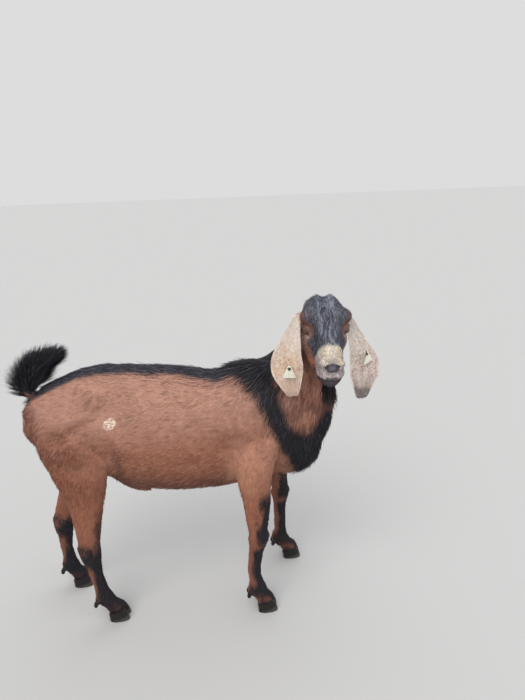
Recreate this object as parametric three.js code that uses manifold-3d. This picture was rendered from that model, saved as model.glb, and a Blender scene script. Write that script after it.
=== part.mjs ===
// A Nubian goat, a young buck with long hanging ears, a black mane along its back and a raised tail.
// It stands square on four feet with its head turned to its right.
// Millimetres, +Z up. The goat faces +X and its left side is +Y. Sizes are taken over the short coat.
import * as THREE from "three";
import { mergeVertices } from "three/addons/utils/BufferGeometryUtils.js";
import Module from "manifold-3d";

const wasm = await Module();
wasm.setup();

// Driving dimensions
const GAP = 0.3; // left between two pieces that meet
const GROW = 0.5; // how far a piece is grown before it is cut out of its neighbour
const SIMPLER = 0.25; // how far a face may move when small faces are merged
const FORE_STANCE = 113; // from the middle of the body to the middle of a fore foot
const HIND_STANCE = 82;
const SOLE_LENGTH = 60;
const CORONET_HEIGHT = 34;
const EYE_RADIUS = 15;
const EAR_THICKNESS = 4.4;
const TAG = { wide: 34, tall: 25, thick: 1.8, corner: 4.5, pin: 2.6, button: 8, behind: 4.5, hang: 7 };
// Where each tag sits on its ear, how far it stands off it, how far it faces outward and how it swings.
const TAG_PLACE = {
  right: { t: 0.63, angle: 82, stand: 5, turn: 0, swing: 0 },
  left: { t: 0.46, angle: 74, stand: 14, turn: 30, swing: 10 },
};
const HEAD = { at: [435, -45, 928], turn: -94, drop: 26, tilt: -1 };

const vector = (point) => new THREE.Vector3(...point);
const radians = THREE.MathUtils.degToRad;
const spline = (points) => new THREE.CatmullRomCurve3(points, false, "catmullrom", 0.5);

let seed = 20;
function random(low, high) {
  seed = (seed * 16807) % 2147483647;
  return low + ((high - low) * seed) / 2147483647;
}

// Solids

function solid(geometry) {
  const bare = geometry.clone();
  bare.deleteAttribute("normal");
  bare.deleteAttribute("uv");
  const merged = mergeVertices(bare, 1e-3);
  const make = (triVerts) => {
    const vertProperties = merged.attributes.position.array;
    return new wasm.Manifold(new wasm.Mesh({ numProp: 3, vertProperties, triVerts }));
  };
  const faces = new Uint32Array(merged.index.array);
  const made = make(faces);
  return made.volume() > 0 ? made : make(faces.reverse());
}

const join = (pieces) => wasm.Manifold.union(pieces);

function largest(piece) {
  return piece.decompose().sort((a, b) => b.volume() - a.volume())[0];
}

// What lies on the side of a plane that its normal points to, half a gap clear of the plane.
function keepSide(piece, point, normal) {
  const n = vector(normal).normalize();
  return piece.trimByPlane(n.toArray(), n.dot(vector(point)) + GAP / 2);
}

const group = new THREE.Group();
function addNode(name, piece, colour, roughness = 0.8) {
  const { vertProperties, triVerts, numProp } = largest(piece.simplify(SIMPLER)).getMesh();
  const geometry = new THREE.BufferGeometry();
  const buffer = new THREE.InterleavedBuffer(vertProperties, numProp);
  geometry.setAttribute("position", new THREE.InterleavedBufferAttribute(buffer, 3, 0));
  geometry.setIndex(new THREE.BufferAttribute(triVerts, 1));
  const material = new THREE.MeshStandardMaterial({ color: colour, roughness, metalness: 0 });
  const mesh = new THREE.Mesh(geometry, material);
  mesh.name = name;
  group.add(mesh);
}

// A form is a ball drawn out along a spine. Each station gives a point of the spine, the direction of the
// form's left side, and its size: half its width, and how far it reaches above and below the spine.
// pear narrows the upper side, square fills the corners of the section, and cup curls up both edges.
function makeForm(stations, endShare = 0.1) {
  const path = spline(stations.map((s) => vector(s.at)));
  const left = spline(stations.map((s) => vector(s.left ?? [0, 1, 0])));
  const size = spline(stations.map((s) => vector(s.size)));
  const section = spline(stations.map((s) => vector([s.pear ?? 0, s.square ?? 0, s.cup ?? 0])));

  // The skin at share t of the length and angle a, where 0 is the left side and a quarter turn is the top.
  function skin(t, a, grow = 0) {
    const ahead = path.getTangent(t);
    const side = left.getPoint(t);
    side.addScaledVector(ahead, -side.dot(ahead)).normalize();
    const up = new THREE.Vector3().crossVectors(ahead, side);
    const half = size.getPoint(t);
    const { x: pear, y: square, z: cup } = section.getPoint(t);
    const nearEnd = Math.min(1, t / endShare, (1 - t) / endShare);
    const round = Math.sqrt(Math.max(0, 1 - (1 - nearEnd) ** 2));
    const power = 2 / (2 + square);
    const across = Math.sign(Math.cos(a)) * Math.abs(Math.cos(a)) ** power;
    const above = Math.sign(Math.sin(a)) * Math.abs(Math.sin(a)) ** power;
    const reach = (above > 0 ? half.y : half.z) + grow;
    const point = path.getPoint(t);
    point.addScaledVector(side, (half.x + grow) * round * across * (1 - pear * above));
    point.addScaledVector(up, reach * round * above + cup * round * across * across);
    return point.addScaledVector(ahead, grow * (2 * t - 1));
  }

  // The skin there with its outward direction and its direction along the spine.
  function place(t, a) {
    const at = skin(t, a);
    const along = skin(Math.min(t + 0.01, 1), a).sub(skin(Math.max(t - 0.01, 0), a)).normalize();
    const around = skin(t, a + 0.05).sub(skin(t, a - 0.05));
    const out = new THREE.Vector3().crossVectors(around, along).normalize();
    const middle = path.getPoint(t);
    if (out.dot(at.clone().sub(middle)) < 0) out.negate();
    return { at, along, out };
  }

  function mesh(sides, rings, grow = 0, swells = []) {
    const geometry = new THREE.SphereGeometry(1, sides, rings);
    const { position, uv } = geometry.attributes;
    for (let i = 0; i < position.count; i += 1) {
      const point = skin(1 - uv.getY(i), uv.getX(i) * 2 * Math.PI, grow);
      for (const swell of swells) {
        const near = 1 - point.distanceToSquared(vector(swell.at)) / swell.reach ** 2;
        if (near > 0) point.addScaledVector(vector(swell.push), near * near);
      }
      position.setXYZ(i, point.x, point.y, point.z);
    }
    return geometry;
  }

  return { place, mesh, solid: (...sizes) => solid(mesh(...sizes)) };
}

// A lock of hair is a flat taper on a bent line: out of the skin at its root, then over along its lie.
// sink is how deep the root goes, rise how far the bend stands off the skin, tip how far the end does,
// and sway how far the end leans to one side.
const LOCK_BEND = 0.4; // share of the length at which a lock bends over
const LOCK_TAPER = 0.55; // below 1 the lock stays broad before it narrows to its tip
function lockSolid({ at, out, lie }, { length, width, thick, rise, sink = 7, tip = 0, sway = 0 }) {
  const side = new THREE.Vector3().crossVectors(lie, out).normalize();
  const start = at.clone().addScaledVector(out, -sink).addScaledVector(lie, -sink);
  const shoulder = at.clone().addScaledVector(out, rise * 1.6).addScaledVector(lie, length * LOCK_BEND);
  const end = at.clone().addScaledVector(lie, length).addScaledVector(out, tip).addScaledVector(side, sway);
  const line = new THREE.QuadraticBezierCurve3(start, shoulder, end);
  const geometry = new THREE.ConeGeometry(1, 1, 4, 2);
  const { position } = geometry.attributes;
  for (let i = 0; i < position.count; i += 1) {
    const share = position.getY(i) + 0.5;
    const fuller = share < 1 ? (1 - share) ** (LOCK_TAPER - 1) : 1;
    const centre = line.getPoint(share);
    const along = line.getTangent(share);
    const normal = new THREE.Vector3().crossVectors(side, along).normalize();
    centre.addScaledVector(side, (position.getX(i) * fuller * width) / 2);
    centre.addScaledVector(normal, (position.getZ(i) * fuller * thick) / 2);
    position.setXYZ(i, centre.x, centre.y, centre.z);
  }
  return solid(geometry);
}

// Locks set in staggered rows on a form, from share to share of its length and degree to degree around it.
// lean turns each one's lie from straight down the form, and style gives its sizes at its place.
function locksOn(form, { rows, across, from, to, low, high, lean = () => 0, toward = -1 }, style) {
  const locks = [];
  for (let row = 0; row < rows; row += 1) {
    for (let k = 0; k < across; k += 1) {
      const t = from + ((to - from) * (row + random(-0.25, 0.25))) / Math.max(rows - 1, 1);
      const stagger = row % 2 === 0 ? 0.25 : -0.25;
      const angle = low + ((high - low) * (k + stagger + random(-0.2, 0.2))) / Math.max(across - 1, 1);
      const place = form.place(THREE.MathUtils.clamp(t, 0.02, 0.98), radians(angle));
      const turn = radians(lean(t, angle) + random(-9, 9));
      const lie = place.along.multiplyScalar(toward).applyAxisAngle(place.out, turn);
      const sizes = style(t, angle);
      const scale = random(0.85, 1.15);
      const varied = { ...sizes, length: sizes.length * scale, sway: random(-0.12, 0.12) * sizes.length };
      locks.push(lockSolid({ ...place, lie }, varied));
    }
  }
  return locks;
}

// Adds to each swell that lies off the middle its mirror image on the other side.
function bothSides(swells) {
  const mirrored = swells
    .filter((s) => s.at[1] !== 0)
    .map((s) => ({ ...s, at: [s.at[0], -s.at[1], s.at[2]], push: [s.push[0], -s.push[1], s.push[2]] }));
  return [...swells, ...mirrored];
}

// Trunk

// From the buttocks to the breast: place along the body, height of back and belly, half width.
const TRUNK_PROFILE = [
  [-404, 738, 656, 44, 684],
  [-372, 758, 592, 74, 670],
  [-300, 786, 514, 92, 652],
  [-225, 803, 484, 100, 640],
  [-140, 800, 452, 108, 626],
  [-50, 791, 416, 120],
  [40, 776, 402, 124],
  [120, 762, 400, 118],
  [190, 768, 404, 108],
  [255, 788, 403, 98],
  [320, 756, 404, 88],
  [380, 690, 408, 74],
  [428, 640, 436, 54],
  [452, 590, 480, 36],
];
const trunkForm = makeForm(
  // over the rump the spine is given a line of its own, since the middle there would bend it too sharply
  TRUNK_PROFILE.map(([x, back, belly, half, middle = belly + 0.5 * (back - belly)]) => {
    return { at: [x, 0, middle], size: [half, back - middle, middle - belly], pear: 0.12, square: 0.15 };
  }),
  0.07,
);
const TRUNK_SWELLS = bothSides([
  { at: [215, 88, 640], reach: 110, push: [0, 12, 0] }, // shoulder blade
  { at: [-195, 80, 755], reach: 60, push: [0, 12, 6] }, // hook bone of the hip
  { at: [-376, 48, 712], reach: 50, push: [-6, 8, 4] }, // pin bone
  { at: [-130, 100, 700], reach: 75, push: [0, -13, 0] }, // hollow of the flank
  { at: [-20, 110, 520], reach: 150, push: [0, 8, 0] }, // barrel
]);

// Limbs

// Each foot is set by where its joints stand along the body. Heights and thicknesses are shared.
const FORE_LEGS = {
  right: { side: -1, shoulder: 240, elbow: 228, knee: 231, cannon: 214, fetlock: 222, foot: 244 },
  left: { side: 1, shoulder: 258, elbow: 296, knee: 328, cannon: 325, fetlock: 325, foot: 356 },
};
const HIND_LEGS = {
  right: {
    side: -1,
    hip: -268,
    stifle: -247,
    gaskin: -260,
    hock: -266,
    cannon: -259,
    fetlock: -245,
    foot: -214,
  },
  left: {
    side: 1,
    hip: -282,
    stifle: -292,
    gaskin: -345,
    hock: -384,
    cannon: -389,
    fetlock: -384,
    foot: -358,
  },
};
const KNEE_HEIGHT = 262;
const HOCK_HEIGHT = 242;

function foreLegForm({ side, shoulder, elbow, knee, cannon, fetlock, foot }) {
  const stance = side * FORE_STANCE;
  return makeForm(
    [
      { at: [shoulder, side * 58, 640], size: [30, 62, 60] },
      { at: [(shoulder + elbow) / 2, side * 84, 545], size: [36, 68, 62] },
      { at: [elbow, side * 104, 462], size: [35, 52, 52] },
      { at: [(elbow + knee) / 2 + 2, stance, 398], size: [30, 43, 43] },
      { at: [(elbow + 3 * knee) / 4, stance, 332], size: [26, 37, 36] },
      { at: [knee, stance, 292], size: [24, 30, 30] },
      { at: [knee, stance, KNEE_HEIGHT], size: [26, 31, 29], square: 0.3 },
      { at: [(knee + cannon) / 2, stance, 215], size: [19, 22, 23] },
      { at: [cannon, stance, 150], size: [17, 21, 21] },
      { at: [(cannon + fetlock) / 2, stance, 112], size: [18, 21, 22] },
      { at: [fetlock, stance, 82], size: [23, 27, 33] },
      { at: [(fetlock + foot) / 2, stance, 56], size: [21, 24, 25] },
      { at: [foot, stance, CORONET_HEIGHT], size: [25, 29, 28], square: 0.3 },
      { at: [foot + 4, stance, 12], size: [24, 28, 28] },
    ],
    0.06,
  );
}

function hindLegForm({ side, hip, stifle, gaskin, hock, cannon, fetlock, foot }) {
  const stance = side * HIND_STANCE;
  return makeForm(
    [
      { at: [hip + 4, side * 44, 690], size: [34, 84, 84] },
      { at: [hip, side * 62, 610], size: [42, 98, 104] },
      { at: [(hip + stifle) / 2, side * 74, 545], size: [42, 86, 92] },
      { at: [stifle, side * 84, 480], size: [36, 60, 78] },
      { at: [(stifle + gaskin) / 2, side * 85, 418], size: [31, 49, 54] },
      { at: [gaskin, side * 84, 348], size: [26, 40, 41] },
      { at: [(gaskin + 2 * hock) / 3, stance, 288], size: [22, 32, 35], pear: 0.1 },
      { at: [hock, stance, HOCK_HEIGHT], size: [23, 31, 33], square: 0.2 },
      { at: [(2 * hock + cannon) / 3, stance, 206], size: [20, 25, 26] },
      { at: [cannon, stance, 158], size: [17, 20, 21] },
      { at: [(cannon + fetlock) / 2, stance, 115], size: [18, 20, 21] },
      { at: [fetlock, stance, 84], size: [22, 24, 30] },
      { at: [(fetlock + foot) / 2, stance, 57], size: [21, 22, 24] },
      { at: [foot, stance, CORONET_HEIGHT], size: [24, 28, 27], square: 0.3 },
      { at: [foot + 4, stance, 12], size: [23, 27, 27] },
    ],
    0.06,
  );
}

// A hoof is two claws under the hair line of the coronet, which is higher in front, and two dewclaws
// behind the fetlock.
const CORONET_SLOPE = [-0.3, 0, 0.95];
const CLAW_OFFSET = 13; // from the middle of the foot to the middle of a claw
const DEWCLAW_OFFSET = 11;
const coronet = (foot, stance) => [foot, stance, CORONET_HEIGHT];

function clawSolid(foot, y) {
  const front = SOLE_LENGTH / 2 + 2;
  const back = SOLE_LENGTH / 2 - 2;
  const form = makeForm(
    [
      { at: [foot - 4, y, 66], size: [9, 16, 22] },
      { at: [foot - 1, y, 42], size: [10.5, 21, 25], square: 0.3 },
      { at: [foot + 2, y, 22], size: [11.8, front - 4, back - 1], square: 0.3 },
      { at: [foot + 4, y, 2], size: [12.2, front, back], square: 0.3 },
      { at: [foot + 4, y, -20], size: [12.2, front, back], square: 0.3 },
    ],
    0.05,
  );
  return form.solid(10, 7).trimByPlane([0, 0, 1], 0);
}

function dewclawSolid(fetlock, y) {
  const form = makeForm([
    { at: [fetlock - 10, y, 76], size: [6, 7, 7] },
    { at: [fetlock - 22, y, 72], size: [7, 8, 8] },
    { at: [fetlock - 28, y, 63], size: [6.5, 7, 7] },
    { at: [fetlock - 29, y, 53], size: [4.5, 4.5, 4.5] },
  ]);
  return form.solid(6, 5);
}

function addFoot(name, leg, cannonPiece, stance) {
  const grownLeg = leg.form.solid(12, 22, GROW);
  for (const [place, step] of Object.entries({ inner: -leg.side, outer: leg.side })) {
    const claw = clawSolid(leg.foot, stance + step * CLAW_OFFSET);
    const below = CORONET_SLOPE.map((n) => -n);
    addNode(`${name}_claw_${place}`, keepSide(claw, coronet(leg.foot, stance), below), "#3b3733", 0.55);
    const dewclaw = dewclawSolid(leg.fetlock, stance + step * DEWCLAW_OFFSET);
    addNode(`${name}_dewclaw_${place}`, dewclaw.subtract(grownLeg), "#4a443e", 0.6);
  }
  addNode(`${name}_cannon`, keepSide(cannonPiece, coronet(leg.foot, stance), CORONET_SLOPE), "#2b2422");
}

// Neck

// From inside the shoulders to inside the skull: crest and throat, half width, and how far the left side
// has turned forward with the head.
const NECK_PROFILE = [
  [[140, 0, 716], [388, 0, 426], 84, 0],
  [[232, 0, 792], [424, 0, 504], 74, 0],
  [[300, 2, 822], [436, -2, 596], 61, 12],
  [[350, 5, 850], [444, -8, 690], 54, 34],
  [[392, 4, 902], [460, -34, 776], 55, 64],
  [[420, -24, 948], [460, -88, 830], 54, 88],
];
const neckForm = makeForm(
  NECK_PROFILE.map(([crest, throat, half, turned]) => {
    const middle = vector(crest).add(vector(throat)).multiplyScalar(0.5);
    const deep = vector(crest).distanceTo(vector(throat)) / 2;
    const turn = radians(turned);
    return { at: middle.toArray(), left: [Math.sin(turn), Math.cos(turn), 0], size: [half, deep, deep] };
  }),
  0.05,
);
// The side of the neck bulges where it bends to the turned head.
const NECK_SWELLS = [{ at: [488, -36, 812], reach: 70, push: [24, 0, -2] }];
const NECK_BASE = { at: [328, 0, 650], normal: [0.872, 0, 0.489] };

// Head, in its own frame: X along the nose from the back of the skull, Y to its left, Z to the forehead.

const headFrame = new THREE.Matrix4()
  .makeRotationFromEuler(new THREE.Euler(radians(HEAD.tilt), radians(HEAD.drop), radians(HEAD.turn), "ZYX"))
  .setPosition(vector(HEAD.at));

// Place along the nose, height of forehead and jaw, half width, and the narrowing of forehead or jaw.
const HEAD_PROFILE = [
  [-10, 36, -22, 34, 0],
  [10, 58, -46, 49, 0],
  [38, 73, -62, 55, 0.02],
  [68, 75, -73, 55, 0.04],
  [98, 66, -77, 50, 0.08],
  [128, 54, -76, 43, 0.1],
  [158, 41, -73, 37, 0.06],
  [184, 26, -72, 34, 0.02],
  [204, 9, -72, 33, 0],
  [218, -6, -64, 28, 0],
  [228, -20, -48, 19, 0],
];
const headForm = makeForm(
  HEAD_PROFILE.map(([x, top, jaw, half, pear]) => {
    const middle = jaw + 0.54 * (top - jaw);
    return { at: [x, 0, middle], size: [half, top - middle, middle - jaw], pear, square: 0.4 };
  }),
  0.08,
);
const HEAD_SWELLS = bothSides([
  { at: [72, 54, 46], reach: 38, push: [2, 17, 6] }, // brow
  { at: [108, 48, 2], reach: 34, push: [0, 6, 0] }, // cheekbone
  { at: [72, 34, -58], reach: 50, push: [0, 18, -3] }, // jaw
  { at: [125, 26, -66], reach: 40, push: [0, 12, -2] }, // edge of the jaw
  { at: [130, 40, 14], reach: 30, push: [0, -5, 0] }, // hollow before the eye
  { at: [40, 26, 78], reach: 26, push: [0, 0, 7] }, // horn bud
  { at: [206, 24, 2], reach: 15, push: [1, 4, 3] }, // nostril wing
  { at: [220, 14, -24], reach: 18, push: [3, 3, 0] }, // upper lip
  { at: [216, 0, -48], reach: 16, push: [-4, 0, 0] }, // under the lip
  { at: [150, 30, -44], reach: 30, push: [0, -5, 0] }, // between cheek and lips
]);

const EYE = { at: [93, 44, 20], look: [0.34, 0.93, 0.12], slant: -14 };

function eyeSolid(side, radius) {
  const ball = new THREE.SphereGeometry(radius, 12, 8);
  return solid(ball.translate(EYE.at[0], side * EYE.at[1], EYE.at[2]));
}

// The lids are an almond ring on the eyeball, longer than high and lower at the nose end.
const LIDS = { radius: 13.4, thick: 3.6, height: 0.72, forward: 9.5 };
function lidSolid(side) {
  const ring = new THREE.TorusGeometry(LIDS.radius, LIDS.thick, 5, 14);
  ring.scale(1, LIDS.height, 1).rotateZ(radians(side * EYE.slant));
  const look = vector([EYE.look[0], side * EYE.look[1], EYE.look[2]]).normalize();
  const turn = new THREE.Matrix4().lookAt(look, new THREE.Vector3(), new THREE.Vector3(0, 0, 1));
  ring.applyMatrix4(turn);
  const at = vector([EYE.at[0], side * EYE.at[1], EYE.at[2]]).addScaledVector(look, LIDS.forward);
  return solid(ring.translate(at.x, at.y, at.z));
}

// A nostril is a comma that opens forward and curls up and out.
function nostrilSolid(side) {
  const form = makeForm([
    { at: [225, side * 4, -16], size: [2, 3, 3] },
    { at: [219, side * 13, -9], size: [3, 4, 4] },
    { at: [212, side * 20, 0], size: [4.5, 6, 6] },
    { at: [204, side * 25, 9], size: [2.5, 3, 3] },
  ]);
  return form.solid(6, 6);
}

// The line of the mouth is a groove that runs round the muzzle from corner to corner.
const MOUTH_DEPTH = 4;
const MOUTH_WIDTH = 2.4;
function mouthSolid() {
  const line = new THREE.SplineCurve([
    new THREE.Vector2(168, -38),
    new THREE.Vector2(192, -37),
    new THREE.Vector2(210, -31),
    new THREE.Vector2(245, -27),
  ]);
  const upper = line.getPoints(8);
  const lower = upper.map((p) => new THREE.Vector2(p.x, p.y - MOUTH_WIDTH)).reverse();
  const slit = new THREE.ExtrudeGeometry(new THREE.Shape([...upper, ...lower]), {
    depth: 120,
    bevelEnabled: false,
  });
  slit.rotateX(radians(90)).translate(0, 60, 0);
  const inside = headForm.solid(24, 24, -MOUTH_DEPTH, HEAD_SWELLS);
  return solid(slit).subtract(inside);
}

// Ears

// Down the hanging ear from its root: outward from the head, toward the nose, and down, with its half width.
const EAR_PROFILE = [
  [-16, -2, -2, 11, 8],
  [4, 2, -2, 12, 6.5],
  [22, 8, 8, 13, 4],
  [33, 16, 40, 20, 2.2],
  [44, 22, 75, 30, 2.2],
  [54, 25, 107, 40, 2.2],
  [57, 26, 133, 44, 2.2],
  [55, 26, 157, 41, 2.2],
  [51, 27, 183, 31, 2.2],
  [48, 29, 207, 21, 2.2],
  [47, 30, 222, 15, 2],
];
const EAR_ROOT = [42, 50, 20];
const EAR_TURN = { right: 8, left: 14 }; // how far the broad side of each ear turns to look outward
const EAR_LEAN = { right: -0.05, left: 0.05 }; // outward travel for each millimetre down
const EAR_SLIP = { right: -6, left: 8 }; // how much lower one ear hangs
const EAR_OUT = { right: 1, left: -8 }; // how much further out each root stands
const EAR_CUP = 7; // how far the edges of the hanging part curl

function earForm(side, name) {
  const root = vector([EAR_ROOT[0], side * EAR_ROOT[1], EAR_ROOT[2]]).applyMatrix4(headFrame);
  const turn = radians(HEAD.turn);
  const ahead = new THREE.Vector3(Math.cos(turn), Math.sin(turn), 0);
  const outward = new THREE.Vector3(-Math.sin(turn), Math.cos(turn), 0).multiplyScalar(side);
  const yaw = radians(EAR_TURN[name]);
  const across = outward.clone().multiplyScalar(Math.cos(yaw)).addScaledVector(ahead, -Math.sin(yaw));
  return makeForm(
    EAR_PROFILE.map(([out, forward, down, half, thick], i) => {
      const spread = out + EAR_LEAN[name] * down + EAR_OUT[name];
      const at = root.clone().addScaledVector(outward, spread).addScaledVector(ahead, forward);
      at.z -= down + (EAR_SLIP[name] * Math.min(down, 60)) / 60;
      const cup = Math.min(2 * i, EAR_CUP);
      const left = across.clone().multiplyScalar(side).toArray();
      return { at: at.toArray(), left, size: [half, thick, thick], cup };
    }),
    0.05,
  );
}

// Tail

// The tail is carried up and curls forward over the rump, with hair fanned out above and behind it.
const TAIL_PROFILE = [
  [[-352, 0, 706], [17, 20, 16]],
  [[-380, 0, 744], [20, 25, 16]],
  [[-372, 0, 780], [21, 30, 18]],
  [[-340, 0, 808], [20, 29, 18]],
  [[-302, 0, 825], [14, 20, 13]],
  [[-276, 0, 834], [7, 9, 7]],
];
const tailForm = makeForm(TAIL_PROFILE.map(([at, size]) => ({ at, size })), 0.12);

// A buck's scrotum hangs between the thighs, and the sheath lies under the belly.
const SCROTUM = { at: [-262, 0, 468], size: [34, 30, 52] };
const SHEATH_PROFILE = [
  [[-190, 0, 462], 14],
  [[-140, 0, 424], 18],
  [[-98, 0, 406], 17],
  [[-78, 0, 398], 10],
];

// Ear tags

// A flap with round corners hangs from a pin through the ear, and the pin ends in a flat button.
function tagSolids(form, { t, angle, stand, turn, swing }) {
  const { at, out } = form.place(t, radians(angle));
  const { wide, tall, thick, corner, pin, button } = TAG;
  const shape = new THREE.Shape();
  const corners = [
    [0, corner],
    [-wide / 2 + corner, corner - tall],
    [wide / 2 - corner, corner - tall],
  ];
  corners.forEach(([x, y], i) => {
    const start = radians(30 + 120 * i);
    shape.absarc(x, y, corner, start, start + radians(120), false);
  });
  const flap = new THREE.ExtrudeGeometry(shape, { depth: thick, bevelEnabled: false, curveSegments: 3 });
  const flat = new THREE.Vector3(out.x, out.y, 0).normalize();
  const facing = Math.atan2(flat.y, flat.x) + Math.PI / 2;
  flap.rotateZ(radians(swing)).rotateX(radians(90 - TAG.hang)).rotateZ(radians(turn));
  flap.translate(0, -stand, 0).rotateZ(facing);
  const rod = (radius, from, to) => {
    const cylinder = new THREE.CylinderGeometry(radius, radius, to - from, 9);
    cylinder.rotateX(Math.PI / 2).translate(0, 0, (from + to) / 2);
    return cylinder.rotateX(Math.PI / 2).rotateZ(facing);
  };
  const place = (geometry) => solid(geometry.translate(at.x, at.y, at.z));
  const back = -EAR_THICKNESS - TAG.behind;
  const front = stand + thick;
  const tag = join([
    place(flap),
    place(rod(pin, back, front + 1)),
    place(rod(pin * 1.8, front - 1, front + 1.4)),
    place(rod(button, back - thick, back + 0.1)),
  ]);
  return { tag, hole: place(rod(pin + GAP, back - 20, stand + 20)) };
}

// Long hair

// A ridge of black hair runs down the back. It lies toward the tail and is longest over the withers.
const ridgeLocks = locksOn(
  trunkForm,
  { rows: 10, across: 3, from: 0.16, to: 0.72, low: 72, high: 108, lean: (t, a) => (a - 90) * 0.8 },
  (t) => ({ length: 84, width: 46, thick: 8, rise: 8 + 14 * Math.max(0, t - 0.45), tip: 3 }),
);

// The neck and the breast have a rough coat that hangs down to the chest, thickest on crest and throat.
const neckLocks = locksOn(
  neckForm,
  {
    rows: 6,
    across: 7,
    from: 0.16,
    to: 0.78,
    low: -90,
    high: 225,
    lean: (t, a) => 20 * Math.cos(radians(a)),
  },
  (t, a) => {
    const crest = Math.abs(Math.sin(radians(a)));
    return { length: 82, width: 52, thick: 9, rise: 5 + 7 * crest, tip: 3 };
  },
);
const breastLocks = locksOn(
  trunkForm,
  { rows: 2, across: 4, from: 0.88, to: 0.96, low: -140, high: -40 },
  () => ({ length: 60, width: 48, thick: 8, rise: 5, tip: 4 }),
);

// Hair fans out over the whole length of the tail, longest along its upper side.
const tailLocks = [
  ...locksOn(
    tailForm,
    {
      rows: 6,
      across: 3,
      from: 0.2,
      to: 0.84,
      low: 55,
      high: 125,
      toward: 1,
      lean: (t, a) => (90 - a) * 0.2,
    },
    (t) => ({ length: 62 - 26 * t, width: 34, thick: 9, rise: 10, tip: 16 - 6 * t, sink: 8 }),
  ),
  ...locksOn(
    tailForm,
    { rows: 2, across: 3, from: 0.45, to: 0.8, low: 200, high: 340, toward: 1 },
    (t) => ({ length: 62 - 30 * t, width: 30, thick: 8, rise: 6, tip: 4, sink: 7 }),
  ),
];

// Wavy hair on the forehead lies from the crown to the nose, parted in the middle.
const foreheadLocks = locksOn(
  headForm,
  {
    rows: 5,
    across: 4,
    from: 0.12,
    to: 0.42,
    low: 50,
    high: 130,
    toward: 1,
    lean: (t, a) => (a - 90) * 0.35,
  },
  (t) => ({ length: 46, width: 27, thick: 8, rise: 9 - 8 * t, tip: 3, sink: 6 }),
);

// The beard is a small tuft that hangs straight down from the chin.
const BEARD = { rows: 3, across: 3, from: 178, to: 204, wide: 26, height: -66, length: 58 };
const plumb = new THREE.Vector3(0, 0, -1).transformDirection(headFrame.clone().invert());
const beardLocks = [];
for (let row = 0; row < BEARD.rows; row += 1) {
  for (let k = 0; k < BEARD.across; k += 1) {
    const x = BEARD.from + ((BEARD.to - BEARD.from) * row) / (BEARD.rows - 1);
    const y = BEARD.wide * (k / (BEARD.across - 1) - 0.5) + random(-2, 2);
    const lie = plumb.clone().add(vector([random(-0.1, 0.05), 0.012 * y, 0])).normalize();
    const out = vector([Math.sign(row - 0.9), 0.04 * y, 0]).cross(lie).cross(lie).negate().normalize();
    const length = BEARD.length * random(0.75, 1.1);
    const sizes = { length, width: 13, thick: 6, rise: 2, sink: 4, sway: random(-5, 5) };
    beardLocks.push(lockSolid({ at: vector([x, y, BEARD.height]), out, lie }, sizes));
  }
}

// Build the flesh

const trunk = join([trunkForm.solid(22, 20, 0, TRUNK_SWELLS), ...ridgeLocks, ...breastLocks]);
const neck = join([neckForm.solid(20, 14, 0, NECK_SWELLS), ...neckLocks]);

const headCore = headForm.solid(24, 24, 0, HEAD_SWELLS);
const headGrown = solid(headForm.mesh(24, 24, GROW, HEAD_SWELLS).applyMatrix4(headFrame));
let head = join([headCore, lidSolid(1), lidSolid(-1)]).subtract(mouthSolid());
head = join([head, ...foreheadLocks, ...beardLocks]);
for (const side of [-1, 1]) {
  head = head.subtract(eyeSolid(side, EYE_RADIUS + GAP)).subtract(nostrilSolid(side));
}

function inHeadFrame(piece) {
  return piece.transform(headFrame.toArray());
}
addNode("head", inHeadFrame(head), "#26221f");
for (const [name, side] of Object.entries({ right: -1, left: 1 })) {
  addNode(`eye_${name}`, inHeadFrame(eyeSolid(side, EYE_RADIUS)), "#8a5a22", 0.1);
  const form = earForm(side, name);
  const { tag, hole } = tagSolids(form, TAG_PLACE[name]);
  addNode(`ear_${name}`, form.solid(12, 12).subtract(headGrown).subtract(hole), "#cdb9a4");
  addNode(`tag_${name}`, tag, "#e9e6c8", 0.5);
}

const legPieces = [];
for (const [name, place] of Object.entries(FORE_LEGS)) {
  const leg = { ...place, form: foreLegForm(place), stance: place.side * FORE_STANCE };
  const whole = leg.form.solid(12, 22);
  // The cut below the elbow slopes up to the outside, so that it passes clear under the chest.
  const slope = [0, -leg.side * 0.62, 0.78];
  const cut = [leg.elbow, leg.side * 96, 436];
  const kneeCut = [leg.knee, leg.stance, KNEE_HEIGHT];
  legPieces.push(keepSide(whole, cut, slope));
  const lower = keepSide(whole, cut, slope.map((n) => -n));
  addNode(`fore_${name}_forearm`, keepSide(lower, kneeCut, [0, 0, 1]), "#8a5237");
  addFoot(`fore_${name}`, leg, keepSide(lower, kneeCut, [0, 0, -1]), leg.stance);
}
for (const [name, place] of Object.entries(HIND_LEGS)) {
  const leg = { ...place, form: hindLegForm(place), stance: place.side * HIND_STANCE };
  const whole = leg.form.solid(12, 22);
  const cut = [leg.stifle, leg.stance, 470];
  const slope = [0.35, -leg.side * 0.15, 0.92];
  const hockCut = [leg.hock, leg.stance, HOCK_HEIGHT];
  legPieces.push(keepSide(whole, cut, slope));
  const lower = keepSide(whole, cut, slope.map((n) => -n));
  addNode(`hind_${name}_gaskin`, keepSide(lower, hockCut, [0, 0, 1]), "#8a5237");
  addFoot(`hind_${name}`, leg, keepSide(lower, hockCut, [0, 0, -1]), leg.stance);
}

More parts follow.
